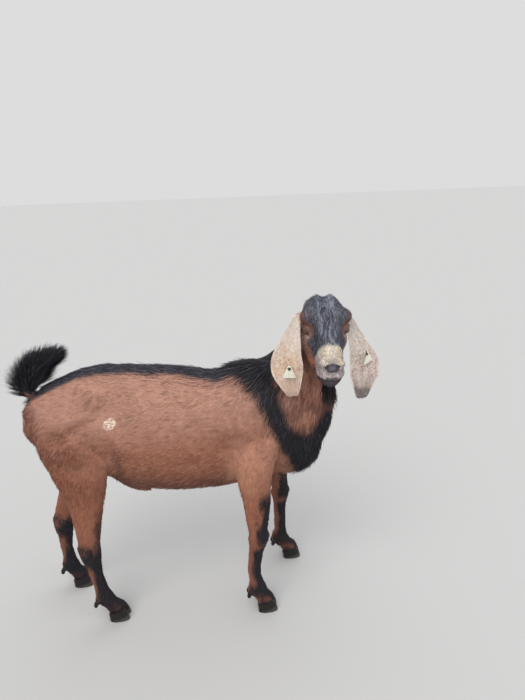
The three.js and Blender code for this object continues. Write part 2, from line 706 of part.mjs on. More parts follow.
const scrotum = new THREE.SphereGeometry(1, 14, 10).scale(...SCROTUM.size).translate(...SCROTUM.at);
const sheathForm = makeForm(SHEATH_PROFILE.map(([at, half]) => ({ at, size: [half, half, half] })));
const body = join([trunk, neck, ...legPieces, solid(scrotum), sheathForm.solid(12, 10)]);
const backward = NECK_BASE.normal.map((n) => -n);
addNode("neck", keepSide(body, NECK_BASE.at, NECK_BASE.normal).subtract(headGrown), "#8a4f35");
addNode("torso", keepSide(body, NECK_BASE.at, backward), "#9a5a3e");
const trunkGrown = trunkForm.solid(22, 20, GROW, TRUNK_SWELLS);
const tail = join([tailForm.solid(12, 14), ...tailLocks]);
addNode("tail", tail.subtract(trunkGrown), "#1c1a1b");

// The origin is under the middle of the goat's box, on the floor.
const box = new THREE.Box3().setFromObject(group);
const centre = box.getCenter(new THREE.Vector3());
group.position.set(-centre.x, -centre.y, -box.min.z);

export default group;
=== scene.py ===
# %% [markdown]
# # A Nubian goat with its coat on
# The solid model of the goat is loaded as a fixed frame. Over it this lesson makes one skin, the eyes, the
# hooves and a coat of many thousand small tufts, and gives each of them its finish.
# All sizes are written in millimetres in the goat's own frame: +X is where its body points, +Y is its left
# side, and the floor is at zero. They turn to metres when a mesh is made.

# %% The frame
import math

import bpy
import numpy as np
from mathutils import Matrix, Vector, kdtree


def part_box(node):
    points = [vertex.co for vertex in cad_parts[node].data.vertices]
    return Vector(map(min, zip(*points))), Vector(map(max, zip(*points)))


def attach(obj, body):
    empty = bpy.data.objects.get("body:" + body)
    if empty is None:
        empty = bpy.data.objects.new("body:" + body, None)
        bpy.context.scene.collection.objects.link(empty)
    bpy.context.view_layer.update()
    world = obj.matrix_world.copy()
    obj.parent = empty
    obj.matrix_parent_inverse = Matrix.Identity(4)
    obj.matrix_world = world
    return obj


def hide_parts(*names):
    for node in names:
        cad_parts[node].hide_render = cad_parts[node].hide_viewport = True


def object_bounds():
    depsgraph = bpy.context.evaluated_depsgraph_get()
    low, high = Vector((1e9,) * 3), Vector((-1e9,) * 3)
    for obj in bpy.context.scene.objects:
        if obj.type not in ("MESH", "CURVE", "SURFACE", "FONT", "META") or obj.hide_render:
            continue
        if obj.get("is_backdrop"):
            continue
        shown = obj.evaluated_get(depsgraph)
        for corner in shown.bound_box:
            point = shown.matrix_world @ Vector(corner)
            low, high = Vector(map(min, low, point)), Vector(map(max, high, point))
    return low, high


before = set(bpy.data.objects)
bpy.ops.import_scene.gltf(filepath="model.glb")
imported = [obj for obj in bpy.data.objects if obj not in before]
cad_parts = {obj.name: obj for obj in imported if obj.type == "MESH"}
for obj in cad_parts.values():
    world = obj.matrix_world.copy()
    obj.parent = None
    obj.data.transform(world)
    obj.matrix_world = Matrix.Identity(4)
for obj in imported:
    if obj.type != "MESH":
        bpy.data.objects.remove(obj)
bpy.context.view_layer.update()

MM = 0.001

# %% [markdown]
# ## Where things are
# The head has a frame of its own: X runs down the nose from the back of the skull, Y to the goat's left and
# Z to the forehead. The eyeballs' places in it are known, so the boxes of the two eye nodes say how far the
# model's origin lies from the point between the goat's feet that the sizes below start from.

# %% Head frame and origin
HEAD_AT = (435, -45, 928)
HEAD_TURN, HEAD_DROP, HEAD_TILT = -94, 26, -1
EYE_AT = (93, 44, 20)
EYE_RADIUS = 15

head_frame = (
    Matrix.Translation(HEAD_AT)
    @ Matrix.Rotation(math.radians(HEAD_TURN), 4, "Z")
    @ Matrix.Rotation(math.radians(HEAD_DROP), 4, "Y")
    @ Matrix.Rotation(math.radians(HEAD_TILT), 4, "X")
)
HEAD_TURNS = np.array(head_frame.to_3x3())
HEAD_ORIGIN = np.array(HEAD_AT, float)


def from_head(points):
    return np.asarray(points, float) @ HEAD_TURNS.T + HEAD_ORIGIN


def to_head(points):
    return (np.asarray(points, float) - HEAD_ORIGIN) @ HEAD_TURNS


seen = np.mean([np.array(corner) for side in ("right", "left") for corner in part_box(f"eye_{side}")], axis=0)
known = from_head([(EYE_AT[0], 0, EYE_AT[2])])[0]
ORIGIN = seen / MM - known


def to_model(points):
    """Millimetres in the goat's frame to metres in the model's."""
    return (np.asarray(points, float) + ORIGIN) * MM


def from_model(points):
    return np.asarray(points, float) / MM - ORIGIN


print("origin of the goat's frame, mm:", ORIGIN.round(1))

# %% [markdown]
# ## Small helpers
# Numbers are read from and written to meshes in one go with foreach_get and foreach_set, which is far faster
# than a loop over vertices. Operators on a whole mesh run in edit mode with all of it selected.


# %% Mesh helpers
def select_only(*objects):
    bpy.ops.object.select_all(action="DESELECT")
    for item in objects:
        item.select_set(True)
    bpy.context.view_layer.objects.active = objects[0]


def read_rows(collection, name, width, kind=float):
    """One row of numbers for each member of a mesh's collection."""
    values = np.empty(len(collection) * width, kind)
    collection.foreach_get(name, values)
    return values.reshape(-1, width)


def points_of(item):
    return read_rows(item.data.vertices, "co", 3)


def set_points(item, points):
    item.data.vertices.foreach_set("co", np.asarray(points, np.float32).ravel())
    item.data.update()


def edit_all(item, *steps):
    """Runs mesh operators, each with its settings, on all of an object's mesh."""
    select_only(item)
    bpy.ops.object.mode_set(mode="EDIT")
    bpy.ops.mesh.select_all(action="SELECT")
    for operator, settings in steps:
        operator(**settings)
    bpy.ops.object.mode_set(mode="OBJECT")


def apply_modifier(item, kind, **settings):
    select_only(item)
    modifier = item.modifiers.new(kind.title(), kind)
    for name, value in settings.items():
        setattr(modifier, name, value)
    bpy.ops.object.modifier_apply(modifier=modifier.name)


def unit(vectors):
    return vectors / np.maximum(np.linalg.norm(vectors, axis=-1, keepdims=True), 1e-9)


def fade(low, high, value):
    """0 where the value is at low or before it, 1 from high on, and smooth between them."""
    share = np.clip((value - low) / (high - low), 0, 1)
    return share * share * (3 - 2 * share)


def hill(*offsets):
    """1 where all offsets are 0, falling off smoothly to nearly 0 where one of them is 2."""
    return np.exp(-sum(offset**2 for offset in offsets))


def linear(colour):
    """An sRGB hex colour as linear red, green and blue."""
    values = np.array([int(colour[i : i + 2], 16) / 255 for i in (1, 3, 5)])
    return np.where(values <= 0.04045, values / 12.92, ((values + 0.055) / 1.055) ** 2.4)


# %% [markdown]
# ## Forms
# Every limb is a ball drawn out along a spine. At each station the spine has a point and the section has a
# half width, a reach above and a reach below. A limb could be extruded ring by ring, but each ring here is a
# different egg with its own upper and lower half, which transform operators can't give. So a UV sphere is
# added, and each of its vertices is laid on the form: its latitude says how far along the spine, and its
# longitude says where around the section.


# %% A form along a spine
def curve(points):
    """A smooth curve through points, for shares from 0 to 1."""
    points = np.asarray(points, float)
    run = np.vstack([2 * points[0] - points[1], points, 2 * points[-1] - points[-2]])

    def at(share):
        place = np.clip(share, 0, 1) * (len(points) - 1)
        i = np.minimum(place.astype(int), len(points) - 2)
        w = (place - i)[:, None]
        a, b, c, d = (run[i + k] for k in range(4))
        bend = w**2 * (a - 2.5 * b + 2 * c - 0.5 * d) + w**3 * (1.5 * (b - c) + 0.5 * (d - a))
        return b + 0.5 * w * (c - a) + bend

    return at


class Form:
    def __init__(self, stations, end_share=0.1):
        self.path = curve([s["at"] for s in stations])
        self.left = curve([s.get("left", (0, 1, 0)) for s in stations])
        self.size = curve([s["size"] for s in stations])
        self.section = curve([[s.get(k, 0) for k in ("pear", "square", "cup")] for s in stations])
        self.end_share = end_share

    def axes(self, t):
        ahead = unit(self.path(np.minimum(t + 1e-3, 1)) - self.path(np.maximum(t - 1e-3, 0)))
        side = self.left(t)
        side = unit(side - (side * ahead).sum(1, keepdims=True) * ahead)
        return ahead, side, np.cross(ahead, side)

    def skin(self, t, angle, grow=0.0):
        """Points at share t of the length and an angle around, 0 being the left and a quarter the top."""
        ahead, side, up = self.axes(t)
        half = self.size(t)
        pear, square, cup = self.section(t).T
        near = np.clip(np.minimum(t, 1 - t) / self.end_share, 0, 1)
        rounding = np.sqrt(np.maximum(0, 1 - (1 - near) ** 2))
        power = 2 / (2 + square)
        across = np.sign(np.cos(angle)) * np.abs(np.cos(angle)) ** power
        above = np.sign(np.sin(angle)) * np.abs(np.sin(angle)) ** power
        reach = np.where(above > 0, half[:, 1], half[:, 2]) + grow
        wide = (half[:, 0] + grow) * rounding * across * (1 - pear * above)
        high = reach * rounding * above + cup * rounding * across**2
        lengthwise = grow * (2 * t - 1)
        return self.path(t) + side * wide[:, None] + up * high[:, None] + ahead * lengthwise[:, None]


def nearness(points, at, reach):
    """1 at a place, falling to 0 at its reach."""
    return np.maximum(0, 1 - ((points - at) ** 2).sum(1) / reach**2)


def swell(points, swells):
    """Pushes points near each centre, most at the centre and not at all at its reach."""
    for at, reach, push in swells:
        points = points + (nearness(points, at, reach) ** 2)[:, None] * np.asarray(push, float)
    return points


def both_sides(swells):
    flip = np.array([1, -1, 1])
    return swells + [(np.array(at) * flip, r, np.array(push) * flip) for at, r, push in swells if at[1]]


def lay_ball(name, form, sides, rings, grow=0.0, swells=(), place=None):
    bpy.ops.mesh.primitive_uv_sphere_add(segments=sides, ring_count=rings, radius=1)
    ball = bpy.context.object
    ball.name = name
    start = points_of(ball)
    t = 0.5 + np.arcsin(np.clip(start[:, 2], -1, 1)) / math.pi
    angle = np.arctan2(start[:, 1], start[:, 0])
    points = swell(form.skin(t, angle, grow(t) if callable(grow) else grow), swells)
    set_points(ball, to_model(place(points) if place else points))
    edit_all(ball, (bpy.ops.mesh.normals_make_consistent, {"inside": False}))
    return ball


# %% [markdown]
# ## The trunk, neck and legs
# The tables give the goat over its short coat, so the skin is laid a few millimetres inside them.

# %% Trunk
TRUNK = [  # place along the body, height of back and belly, half width, and over the rump the spine's height
    (-404, 738, 656, 44, 684),
    (-372, 758, 592, 74, 670),
    (-300, 786, 514, 92, 652),
    (-225, 803, 484, 100, 640),
    (-140, 800, 452, 108, 626),
    (-50, 791, 416, 120),
    (40, 776, 402, 124),
    (120, 762, 400, 118),
    (190, 768, 404, 108),
    (255, 788, 403, 98),
    (320, 756, 404, 88),
    (380, 690, 408, 74),
    (428, 640, 436, 54),
    (452, 590, 480, 36),
]


def trunk_station(x, back, belly, half, middle=None):
    middle = middle or (back + belly) / 2
    return {"at": (x, 0, middle), "size": (half, back - middle, middle - belly), "pear": 0.12, "square": 0.15}


trunk_form = Form([trunk_station(*row) for row in TRUNK], 0.07)
TRUNK_SWELLS = both_sides([
    ((215, 88, 640), 110, (0, 12, 0)),  # shoulder blade
    ((-195, 80, 755), 60, (0, 12, 6)),  # hook bone of the hip
    ((-376, 48, 712), 50, (-6, 8, 4)),  # pin bone
    ((-130, 100, 700), 75, (0, -13, 0)),  # hollow of the flank
    ((-20, 110, 520), 150, (0, 8, 0)),  # barrel
])
print("trunk stations:", len(TRUNK), "swells:", len(TRUNK_SWELLS))

# %% Legs
FORE_STANCE, HIND_STANCE = 113, 82
KNEE_HEIGHT, HOCK_HEIGHT, CORONET_HEIGHT = 262, 242, 34
FORE_LEGS = {  # side, then places along the body of shoulder, elbow, knee, cannon, fetlock and foot
    "fore_right": (-1, 240, 228, 231, 214, 222, 244),
    "fore_left": (1, 258, 296, 328, 325, 325, 356),
}
HIND_LEGS = {  # side, then places of hip, stifle, gaskin, hock, cannon, fetlock and foot
    "hind_right": (-1, -268, -247, -260, -266, -259, -245, -214),
    "hind_left": (1, -282, -292, -345, -384, -389, -384, -358),
}


def station(x, y, z, *size, **section):
    return {"at": (x, y, z), "size": size, **section}


def fore_leg(side, shoulder, elbow, knee, cannon, fetlock, foot):
    y = side * FORE_STANCE
    return Form([
        station(shoulder, side * 58, 640, 30, 62, 60),
        station((shoulder + elbow) / 2, side * 84, 545, 36, 68, 62),
        station(elbow, side * 104, 462, 35, 52, 52),
        station((elbow + knee) / 2 + 2, y, 398, 30, 43, 43),
        station((elbow + 3 * knee) / 4, y, 332, 26, 37, 36),
        station(knee, y, 292, 24, 30, 30),
        station(knee, y, KNEE_HEIGHT, 26, 31, 29, square=0.3),
        station((knee + cannon) / 2, y, 215, 19, 22, 23),
        station(cannon, y, 150, 17, 21, 21),
        station((cannon + fetlock) / 2, y, 112, 18, 21, 22),
        station(fetlock, y, 82, 23, 27, 33),
        station((fetlock + foot) / 2, y, 56, 21, 24, 25),
        station(foot, y, CORONET_HEIGHT, 25, 29, 28, square=0.3),
        station(foot + 4, y, 12, 24, 28, 28),
    ], 0.06)


def hind_leg(side, hip, stifle, gaskin, hock, cannon, fetlock, foot):
    y = side * HIND_STANCE
    return Form([
        station(hip + 4, side * 44, 690, 34, 84, 84),
        station(hip, side * 62, 610, 42, 98, 104),
        station((hip + stifle) / 2, side * 74, 545, 42, 86, 92),
        station(stifle, side * 84, 480, 36, 60, 78),
        station((stifle + gaskin) / 2, side * 85, 418, 31, 49, 54),
        station(gaskin, side * 84, 348, 26, 40, 41),
        station((gaskin + 2 * hock) / 3, y, 288, 22, 32, 35, pear=0.1),
        station(hock, y, HOCK_HEIGHT, 23, 31, 33, square=0.2),
        station((2 * hock + cannon) / 3, y, 206, 20, 25, 26),
        station(cannon, y, 158, 17, 20, 21),
        station((cannon + fetlock) / 2, y, 115, 18, 20, 21),
        station(fetlock, y, 84, 22, 24, 30),
        station((fetlock + foot) / 2, y, 57, 21, 22, 24),
        station(foot, y, CORONET_HEIGHT, 24, 28, 27, square=0.3),
        station(foot + 4, y, 12, 23, 27, 27),
    ], 0.06)


leg_forms = {name: fore_leg(*row) for name, row in FORE_LEGS.items()}
leg_forms.update({name: hind_leg(*row) for name, row in HIND_LEGS.items()})
print("legs:", list(leg_forms))

# %% Neck, tail and underparts
NECK = [  # crest and throat, half width, and how far the left side has turned forward with the head
    ((140, 0, 716), (388, 0, 426), 84, 0),
    ((232, 0, 792), (424, 0, 504), 74, 0),
    ((300, 2, 822), (436, -2, 596), 61, 12),
    ((350, 5, 850), (444, -8, 690), 54, 34),
    ((392, 4, 902), (460, -34, 776), 55, 64),
    ((420, -24, 948), (460, -88, 830), 54, 88),
]


def neck_station(crest, throat, half, turned):
    crest, throat = np.array(crest, float), np.array(throat, float)
    deep = np.linalg.norm(crest - throat) / 2
    turn = math.radians(turned)
    left = (math.sin(turn), math.cos(turn), 0)
    return {"at": (crest + throat) / 2, "left": left, "size": (half, deep, deep)}


neck_form = Form([neck_station(*row) for row in NECK], 0.05)
NECK_SWELLS = [((488, -36, 812), 70, (24, 0, -2))]  # the outside of the bend to the turned head

TAIL = [
    ((-352, 0, 706), (17, 20, 16)),
    ((-380, 0, 744), (20, 25, 16)),
    ((-372, 0, 780), (21, 30, 18)),
    ((-340, 0, 808), (20, 29, 18)),
    ((-302, 0, 825), (14, 20, 13)),
    ((-276, 0, 834), (7, 9, 7)),
]
tail_form = Form([{"at": at, "size": size} for at, size in TAIL], 0.12)
SCROTUM = [((-262, 0, 520), 20), ((-262, 0, 495), 30), ((-262, 0, 462), 33), ((-262, 0, 418), 26)]
scrotum_form = Form([{"at": at, "size": (half, half * 0.9, half * 0.9)} for at, half in SCROTUM], 0.15)
SHEATH = [((-190, 0, 462), 14), ((-140, 0, 424), 18), ((-98, 0, 406), 17), ((-78, 0, 398), 10)]
sheath_form = Form([{"at": at, "size": (half, half, half)} for at, half in SHEATH])
print("neck stations:", len(NECK), "tail stations:", len(TAIL))

# %% [markdown]
# ## The head
# The long head has a high roman nose. Its fine shapes come later, once the skin is one mesh.

# %% Head
HEAD = [  # place along the nose, height of forehead and jaw, half width, narrowing upward
    (-10, 36, -22, 34, 0),
    (10, 58, -46, 49, 0),
    (38, 73, -62, 55, 0.02),
    (68, 75, -73, 55, 0.04),
    (98, 66, -77, 50, 0.08),
    (128, 54, -76, 43, 0.1),
    (158, 41, -73, 37, 0.06),
    (184, 26, -72, 34, 0.02),
    (204, 9, -72, 33, 0),
    (218, -6, -64, 28, 0),
    (228, -20, -48, 19, 0),
]


def head_station(x, top, jaw, half, pear):
    middle = jaw + 0.54 * (top - jaw)
    return {"at": (x, 0, middle), "size": (half, top - middle, middle - jaw), "pear": pear, "square": 0.4}


head_form = Form([head_station(*row) for row in HEAD], 0.08)
HEAD_SWELLS = both_sides([
    ((72, 54, 46), 38, (2, 17, 6)),  # brow
    ((108, 48, 2), 34, (0, 6, 0)),  # cheekbone
    ((72, 34, -58), 50, (0, 18, -3)),  # jaw
    ((125, 26, -66), 40, (0, 12, -2)),  # edge of the jaw
    ((130, 40, 14), 30, (0, -5, 0)),  # hollow before the eye
    ((40, 26, 78), 28, (1, 2, 8)),  # horn bud
    ((14, 19, 64), 26, (-4, 0, 6)),  # dome of the crown
    ((80, 50, 52), 24, (2, 4, 4)),  # brow's edge
    ((206, 24, 2), 15, (1, 4, 3)),  # nostril wing
    ((220, 14, -24), 18, (3, 3, 0)),  # upper lip
    ((216, 0, -48), 16, (-4, 0, 0)),  # under the lip
    ((150, 30, -44), 30, (0, -5, 0)),  # between cheek and lips
]) + [
    ((10, 0, 62), 14, (4, 0, -7)),  # valley between the domes
    ((34, 0, 78), 20, (0, 0, -5)),
    ((62, 0, 80), 22, (0, 0, -3)),
]
print("head stations:", len(HEAD), "swells:", len(HEAD_SWELLS))

# %% [markdown]
# ## One skin
# The forms are joined and remeshed with small voxels into one closed skin, so that no seam shows where a leg
# meets the trunk. A smoothing modifier then melts the creases of the joints.

# %% Laying the forms
SHORT_COAT = {"trunk": 4.0, "neck": 4.0, "head": 1.5, "tail": 7.0, "under": 2.0}


def leg_coat(t):
    """The coat thins down the leg, and below the hair line the flesh draws in to fit inside the hoof."""
    return -(4.0 - 2.4 * np.clip(t / 0.5, 0, 1)) - 7.0 * fade(0.9, 1.0, t)


FINE = 2
layers = [
    lay_ball("skin", trunk_form, 64, 80, -SHORT_COAT["trunk"], TRUNK_SWELLS),
    lay_ball("neck_form", neck_form, 56, 64, -SHORT_COAT["neck"], NECK_SWELLS),
    lay_ball("head_form", head_form, 48 * FINE, 64 * FINE, -SHORT_COAT["head"], HEAD_SWELLS, from_head),
    lay_ball("tail_form", tail_form, 32, 40, -SHORT_COAT["tail"]),
    lay_ball("scrotum_form", scrotum_form, 32, 24, -SHORT_COAT["under"]),
    lay_ball("sheath_form", sheath_form, 32, 24, -SHORT_COAT["under"]),
]
for leg_name, leg_form in leg_forms.items():
    layers.append(lay_ball(f"{leg_name}_form", leg_form, 40, 96, leg_coat))
LID_RADIUS = 17.2
for side in (-1, 1):
    eye_place = from_head([(EYE_AT[0], side * EYE_AT[1], EYE_AT[2])])
    bpy.ops.mesh.primitive_uv_sphere_add(
        segments=48, ring_count=32, radius=LID_RADIUS * MM, location=to_model(eye_place)[0]
    )
    layers.append(bpy.context.object)
select_only(*layers)
bpy.ops.object.join()
skin = bpy.context.object
bpy.ops.object.transform_apply(location=True, rotation=True, scale=True)
print("forms joined:", len(layers), "vertices:", len(skin.data.vertices))

# %% Remesh to one surface
VOXEL = 2.0
skin.data.remesh_voxel_size = VOXEL * MM
select_only(skin)
bpy.ops.object.voxel_remesh()
print("remeshed skin:", len(skin.data.vertices), "vertices")

# %% [markdown]
# ## Sculpting the skin
# Muscles, bones and folds are strokes: each one pushes the skin near a point, as a sculpting brush does, so
# the list reads like a sculptor's notes. The eyes, nostrils and mouth need a finer mesh than the trunk, so
# their faces are subdivided first.


# %% Finer faces where the head needs them
def refine(item, centre, reach, cuts=1):
    """Subdivides the faces within reach of a point."""
    points = from_model(points_of(item))
    near = ((points - centre) ** 2).sum(1) < reach**2
    select_only(item)
    item.data.vertices.foreach_set("select", near)
    item.data.edges.foreach_set("select", np.zeros(len(item.data.edges), bool))
    item.data.polygons.foreach_set("select", np.zeros(len(item.data.polygons), bool))
    bpy.ops.object.mode_set(mode="EDIT")
    bpy.ops.mesh.select_mode(type="VERT")
    bpy.ops.mesh.subdivide(number_cuts=cuts)
    bpy.ops.object.mode_set(mode="OBJECT")


def vertex_group(item, name, weights):
    group = item.vertex_groups.new(name=name)
    levels = np.round(weights * 20).astype(int)
    for level in np.unique(levels):
        if level > 0:
            group.add(np.nonzero(levels == level)[0].tolist(), level / 20, "REPLACE")
    return group


points = from_model(points_of(skin))
joints = np.zeros(len(points))
for name, form in leg_forms.items():
    root = form.path(np.array([0.12]))[0] + (0, 0, -40)
    joints = np.maximum(joints, np.minimum(1, 2.5 * nearness(points, root, 190)))
neck_root = np.array((300, 0, 640))
joints = np.maximum(joints, np.minimum(1, 2.5 * nearness(points, neck_root, 240)))
head_back = from_head([(20, 0, -30)])[0]
joints = np.maximum(joints, 0.8 * nearness(points, head_back, 110))
vertex_group(skin, "joints", joints)
apply_modifier(skin, "SMOOTH", factor=0.5, iterations=26, vertex_group="joints")
apply_modifier(skin, "SMOOTH", factor=0.5, iterations=4)
print("creases melted")

# %% Strokes over the body
BODY_STROKES = both_sides([
    ((215, 100, 700), 60, (0, 4, 0)),  # crest of the shoulder blade
    ((246, 96, 640), 46, (0, -4, 0)),  # groove before the shoulder
    ((290, 88, 560), 60, (4, 6, 0)),  # point of the shoulder
    ((180, 112, 560), 70, (0, -5, 0)),  # groove behind the shoulder
    ((215, 128, 505), 55, (0, 5, 0)),  # triceps
    ((-180, 92, 744), 46, (0, 6, 5)),  # hook bone
    ((-225, 96, 700), 60, (0, -6, 0)),  # hollow behind the hook
    ((-300, 90, 640), 80, (0, 7, 0)),  # rump muscle
    ((-195, 96, 650), 60, (0, 5, 0)),  # front of the thigh
    ((-128, 104, 640), 52, (0, -9, 0)),  # hollow of the flank
    ((-160, 104, 570), 46, (0, -7, 0)),  # groove before the thigh
    ((-158, 106, 520), 40, (0, -8, 0)),
    ((-164, 102, 476), 36, (0, -8, 0)),
    ((-235, 112, 500), 62, (4, 5, 0)),  # stifle
    ((-350, 84, 560), 60, (0, -5, 0)),  # groove of the hamstring
    ((-384, 44, 700), 34, (-4, 5, 3)),  # pin bone
    ((-60, 124, 560), 110, (0, 5, 0)),  # middle of the belly
    ((-312, 96, 627), 30, (0, -5, 0)),  # crease across the thigh
    ((-291, 98, 637), 30, (0, -5, 0)),
    ((-262, 100, 656), 30, (0, -5, 0)),
    ((-234, 100, 671), 28, (0, -4, 0)),
    ((-262, 112, 600), 60, (0, 7, 0)),  # swell of the thigh below it
    ((-290, 100, 545), 40, (0, -6, 0)),  # shadowed hollow under the swell
    ((-252, 104, 540), 40, (0, -6, 0)),
])
LEG_STROKES = []
for name, row in FORE_LEGS.items():
    lateral, knee_x, cannon_x, fetlock_x = row[0], row[3], row[4], row[5]
    for out in (-1, 1):
        y = lateral * FORE_STANCE
        LEG_STROKES += [
            ((knee_x + 6, y + out * 25, 268), 22, (0, out * 3, 0)),  # knob of the knee
            ((knee_x - 14, y + out * 22, 240), 20, (0, out * -3, 0)),  # hollow behind the knee
            ((cannon_x - 6, y + out * 18, 165), 34, (0, out * -3.5, 0)),  # groove of the tendon
            ((cannon_x - 6, y + out * 18, 125), 30, (0, out * -3, 0)),
            ((fetlock_x - 4, y + out * 23, 84), 18, (0, out * 2.5, 0)),  # fetlock
        ]
    LEG_STROKES += [
        ((knee_x + 30, lateral * FORE_STANCE, 272), 20, (3, 0, 0)),  # front of the knee
        ((knee_x - 30, lateral * FORE_STANCE, 262), 18, (-4, 0, 0)),  # bone behind the knee
    ]
for name, row in HIND_LEGS.items():
    lateral, hock_x, cannon_x, fetlock_x = row[0], row[4], row[5], row[6]
    y = lateral * HIND_STANCE
    for out in (-1, 1):
        LEG_STROKES += [
            ((hock_x - 8, y + out * 24, 272), 28, (0, out * -5, 0)),  # hollow before the hock tendon
            ((hock_x + 6, y + out * 22, 238), 20, (0, out * 2, 0)),  # sides of the hock
            ((cannon_x - 6, y + out * 18, 180), 34, (0, out * -3, 0)),  # groove of the tendon
            ((cannon_x - 6, y + out * 18, 140), 32, (0, out * -3, 0)),
            ((fetlock_x - 3, y + out * 22, 86), 18, (0, out * 2.5, 0)),
        ]
    LEG_STROKES.append(((hock_x - 36, y, 264), 20, (-5, 0, 2)))  # point of the hock

points = swell(from_model(points_of(skin)), BODY_STROKES + LEG_STROKES)
set_points(skin, to_model(points))
print("body strokes:", len(BODY_STROKES) + len(LEG_STROKES))

# %% [markdown]
# ## Eyes, nostrils and mouth
# The lids are one closed ball over the eye at first. Inside an almond outline the skin is then pushed back
# behind the eyeball, so the lid's edge has the thickness of real lids. The nostrils are comma-shaped
# hollows, and the mouth is a fine groove round the muzzle.

# %% Lids
EYE_LOOK = unit(np.array([0.50, 0.85, 0.12]))
EYE_SLANT = 14
LID_HALF_LENGTH, LID_HALF_HEIGHT = 12.5, 7.6
LID_STRETCH = 1.6  # distances along the lids are divided by this to compare them with those across


def eye_axes(side):
    """The eye's centre and its forward, inner-corner and up directions, all in the head's frame."""
    centre = np.array([EYE_AT[0], side * EYE_AT[1], EYE_AT[2]], float)
    look = EYE_LOOK * (1, side, 1)
    nose = np.array([1.0, 0, 0])
    nose = unit(nose - (nose @ look) * look)
    up = np.cross(look, nose) * -side
    slant = math.radians(EYE_SLANT)
    inner = nose * math.cos(slant) - up * math.sin(slant)
    return centre, look, inner, nose * math.sin(slant) + up * math.cos(slant)


for side in (-1, 1):
    centre, look, inner, up = eye_axes(side)
    for reach in (34, 24):
        refine(skin, from_head([centre + look * 10])[0], reach)
NOSE_TIP = (216, 0, -12)
refine(skin, from_head([NOSE_TIP])[0], 42)
refine(skin, from_head([(205, 0, -34)])[0], 46)


def open_lids(points, side):
    centre, look, inner, up = eye_axes(side)
    local = points - centre
    along, high, forward = local @ inner, local @ up, local @ look
    far = np.linalg.norm(local, axis=1)
    # the lower lid is flatter than the upper one, and both meet in a point at the corners
    reach = np.clip(1 - (along / LID_HALF_LENGTH) ** 2, 0, 1)
    upper = LID_HALF_HEIGHT * 1.05 * reach**0.8
    lower = LID_HALF_HEIGHT * 0.8 * reach**0.9
    edge = np.where(high > 0, high - upper, -high - lower)
    edge = np.maximum(edge, np.abs(along) - LID_HALF_LENGTH)
    inside = fade(0.9, -0.9, edge) * (forward > 0) * (far < LID_RADIUS + 8)
    deep = EYE_RADIUS - 2.6
    points = points + local / far[:, None] * ((deep - far) * inside)[:, None]
    # a rim along the edge of each lid, then the fold above the upper lid and the bag under the lower one
    rim = hill((edge - 1.8) / 1.4) * (forward > 0) * (far < LID_RADIUS + 6)
    fold = hill((edge - 6.5) / 1.8) * fade(0, 3, high) * (forward > -2) * (far < LID_RADIUS + 9)
    bag = hill((edge - 6.5) / 2.2) * fade(0, 3, -high) * (forward > -2) * (far < LID_RADIUS + 9)
    tear = hill((along - 17) / 6, (high + 4) / 2.6) * (forward > -6) * (far < 30)
    push = 1.0 * rim - 2.0 * fold - 1.1 * bag - 2.4 * tear
    return points + look * push[:, None]


points = to_head(from_model(points_of(skin)))
for side in (-1, 1):
    points = open_lids(points, side)
print("lids opened")


# %% Nostrils, mouth and the shapes of the face
def distance_to_line(points, line):
    """Each point's distance to a line of straight stretches, and how far along the line it lies."""
    best = np.full(len(points), 1e9)
    share = np.zeros(len(points))
    line = np.asarray(line, float)
    for i, (a, b) in enumerate(zip(line[:-1], line[1:])):
        stretch = b - a
        t = np.clip((points - a) @ stretch / (stretch @ stretch), 0, 1)
        far = np.linalg.norm(points - a - t[:, None] * stretch, axis=1)
        share = np.where(far < best, (i + t) / (len(line) - 1), share)
        best = np.minimum(far, best)
    return best, share


def line_through(points, count=24):
    return curve(points)(np.linspace(0, 1, count))


NOSTRIL = [(220, 11, -8), (217, 14.5, -3), (213, 18, 2), (208.5, 20, 6.5), (205, 19.5, 9)]


def nostril_width(share):
    """A nostril is a comma: a thin tail below, a round head above."""
    return 0.6 + 2.3 * np.sin(math.pi * np.clip(share, 0, 1) ** 1.6 * 0.85)


MOUTH = [(168, 33, -38), (186, 33, -36), (202, 31, -31), (216, 24, -27), (226, 12, -25), (229, 0, -26)]
FACE_STROKES = both_sides([
    ((112, 40, 34), 26, (0, -2.5, 0)),  # edge of the forehead before the eye
    ((150, 36, 12), 34, (0, -3, 0)),  # long hollow beside the nose bone
    ((116, 46, -16), 26, (0, 3.5, 0)),  # ridge of the cheek
    ((150, 38, -26), 26, (0, 2, 0)),
    ((128, 42, -40), 30, (0, -4, 0)),  # hollow under the cheek ridge
    ((92, 56, -34), 34, (0, 4, 0)),  # chewing muscle
    ((84, 46, 48), 22, (2, 4, 3)),  # brow over the eye
    ((206, 26, 6), 12, (1, 2.5, 1)),  # wing of the nostril
    ((222, 16, -22), 10, (2, 2, 0)),  # lip below the nostril
    ((205, 29, -29), 12, (0, 2.2, 0)),  # upper lip
    ((198, 27, -47), 14, (0, 2, 0)),  # lower lip
]) + [
    ((214, 0, 4), 14, (0, 0, -2)),  # dip between the nostrils
    ((210, 0, -58), 24, (9, 0, -3)),  # chin
    ((228, 0, -24), 7, (-2.5, 0, 0)),  # groove of the upper lip
]
points = swell(points, FACE_STROKES)
centre_line = np.array([150, 0, -26])
inward = unit((centre_line - points) * (0.35, 1, 1))
for side in (-1, 1):
    far, share = distance_to_line(points, line_through(NOSTRIL) * (1, side, 1))
    width = nostril_width(share)
    hollow = fade(1.15, 0.45, far / width)
    rim = hill((far / width - 1.5) / 0.35)
    points = points + inward * (hollow * 8.0 - rim * 1.0)[:, None]
    far, share = distance_to_line(points, line_through(MOUTH) * (1, side, 1))
    groove = fade(2.2, 0.4, far)
    lips = hill((far - 3.4) / 1.6)
    points = points + inward * (groove * 2.8 - lips * 0.9)[:, None]
set_points(skin, to_model(from_head(points)))
print("face shaped")

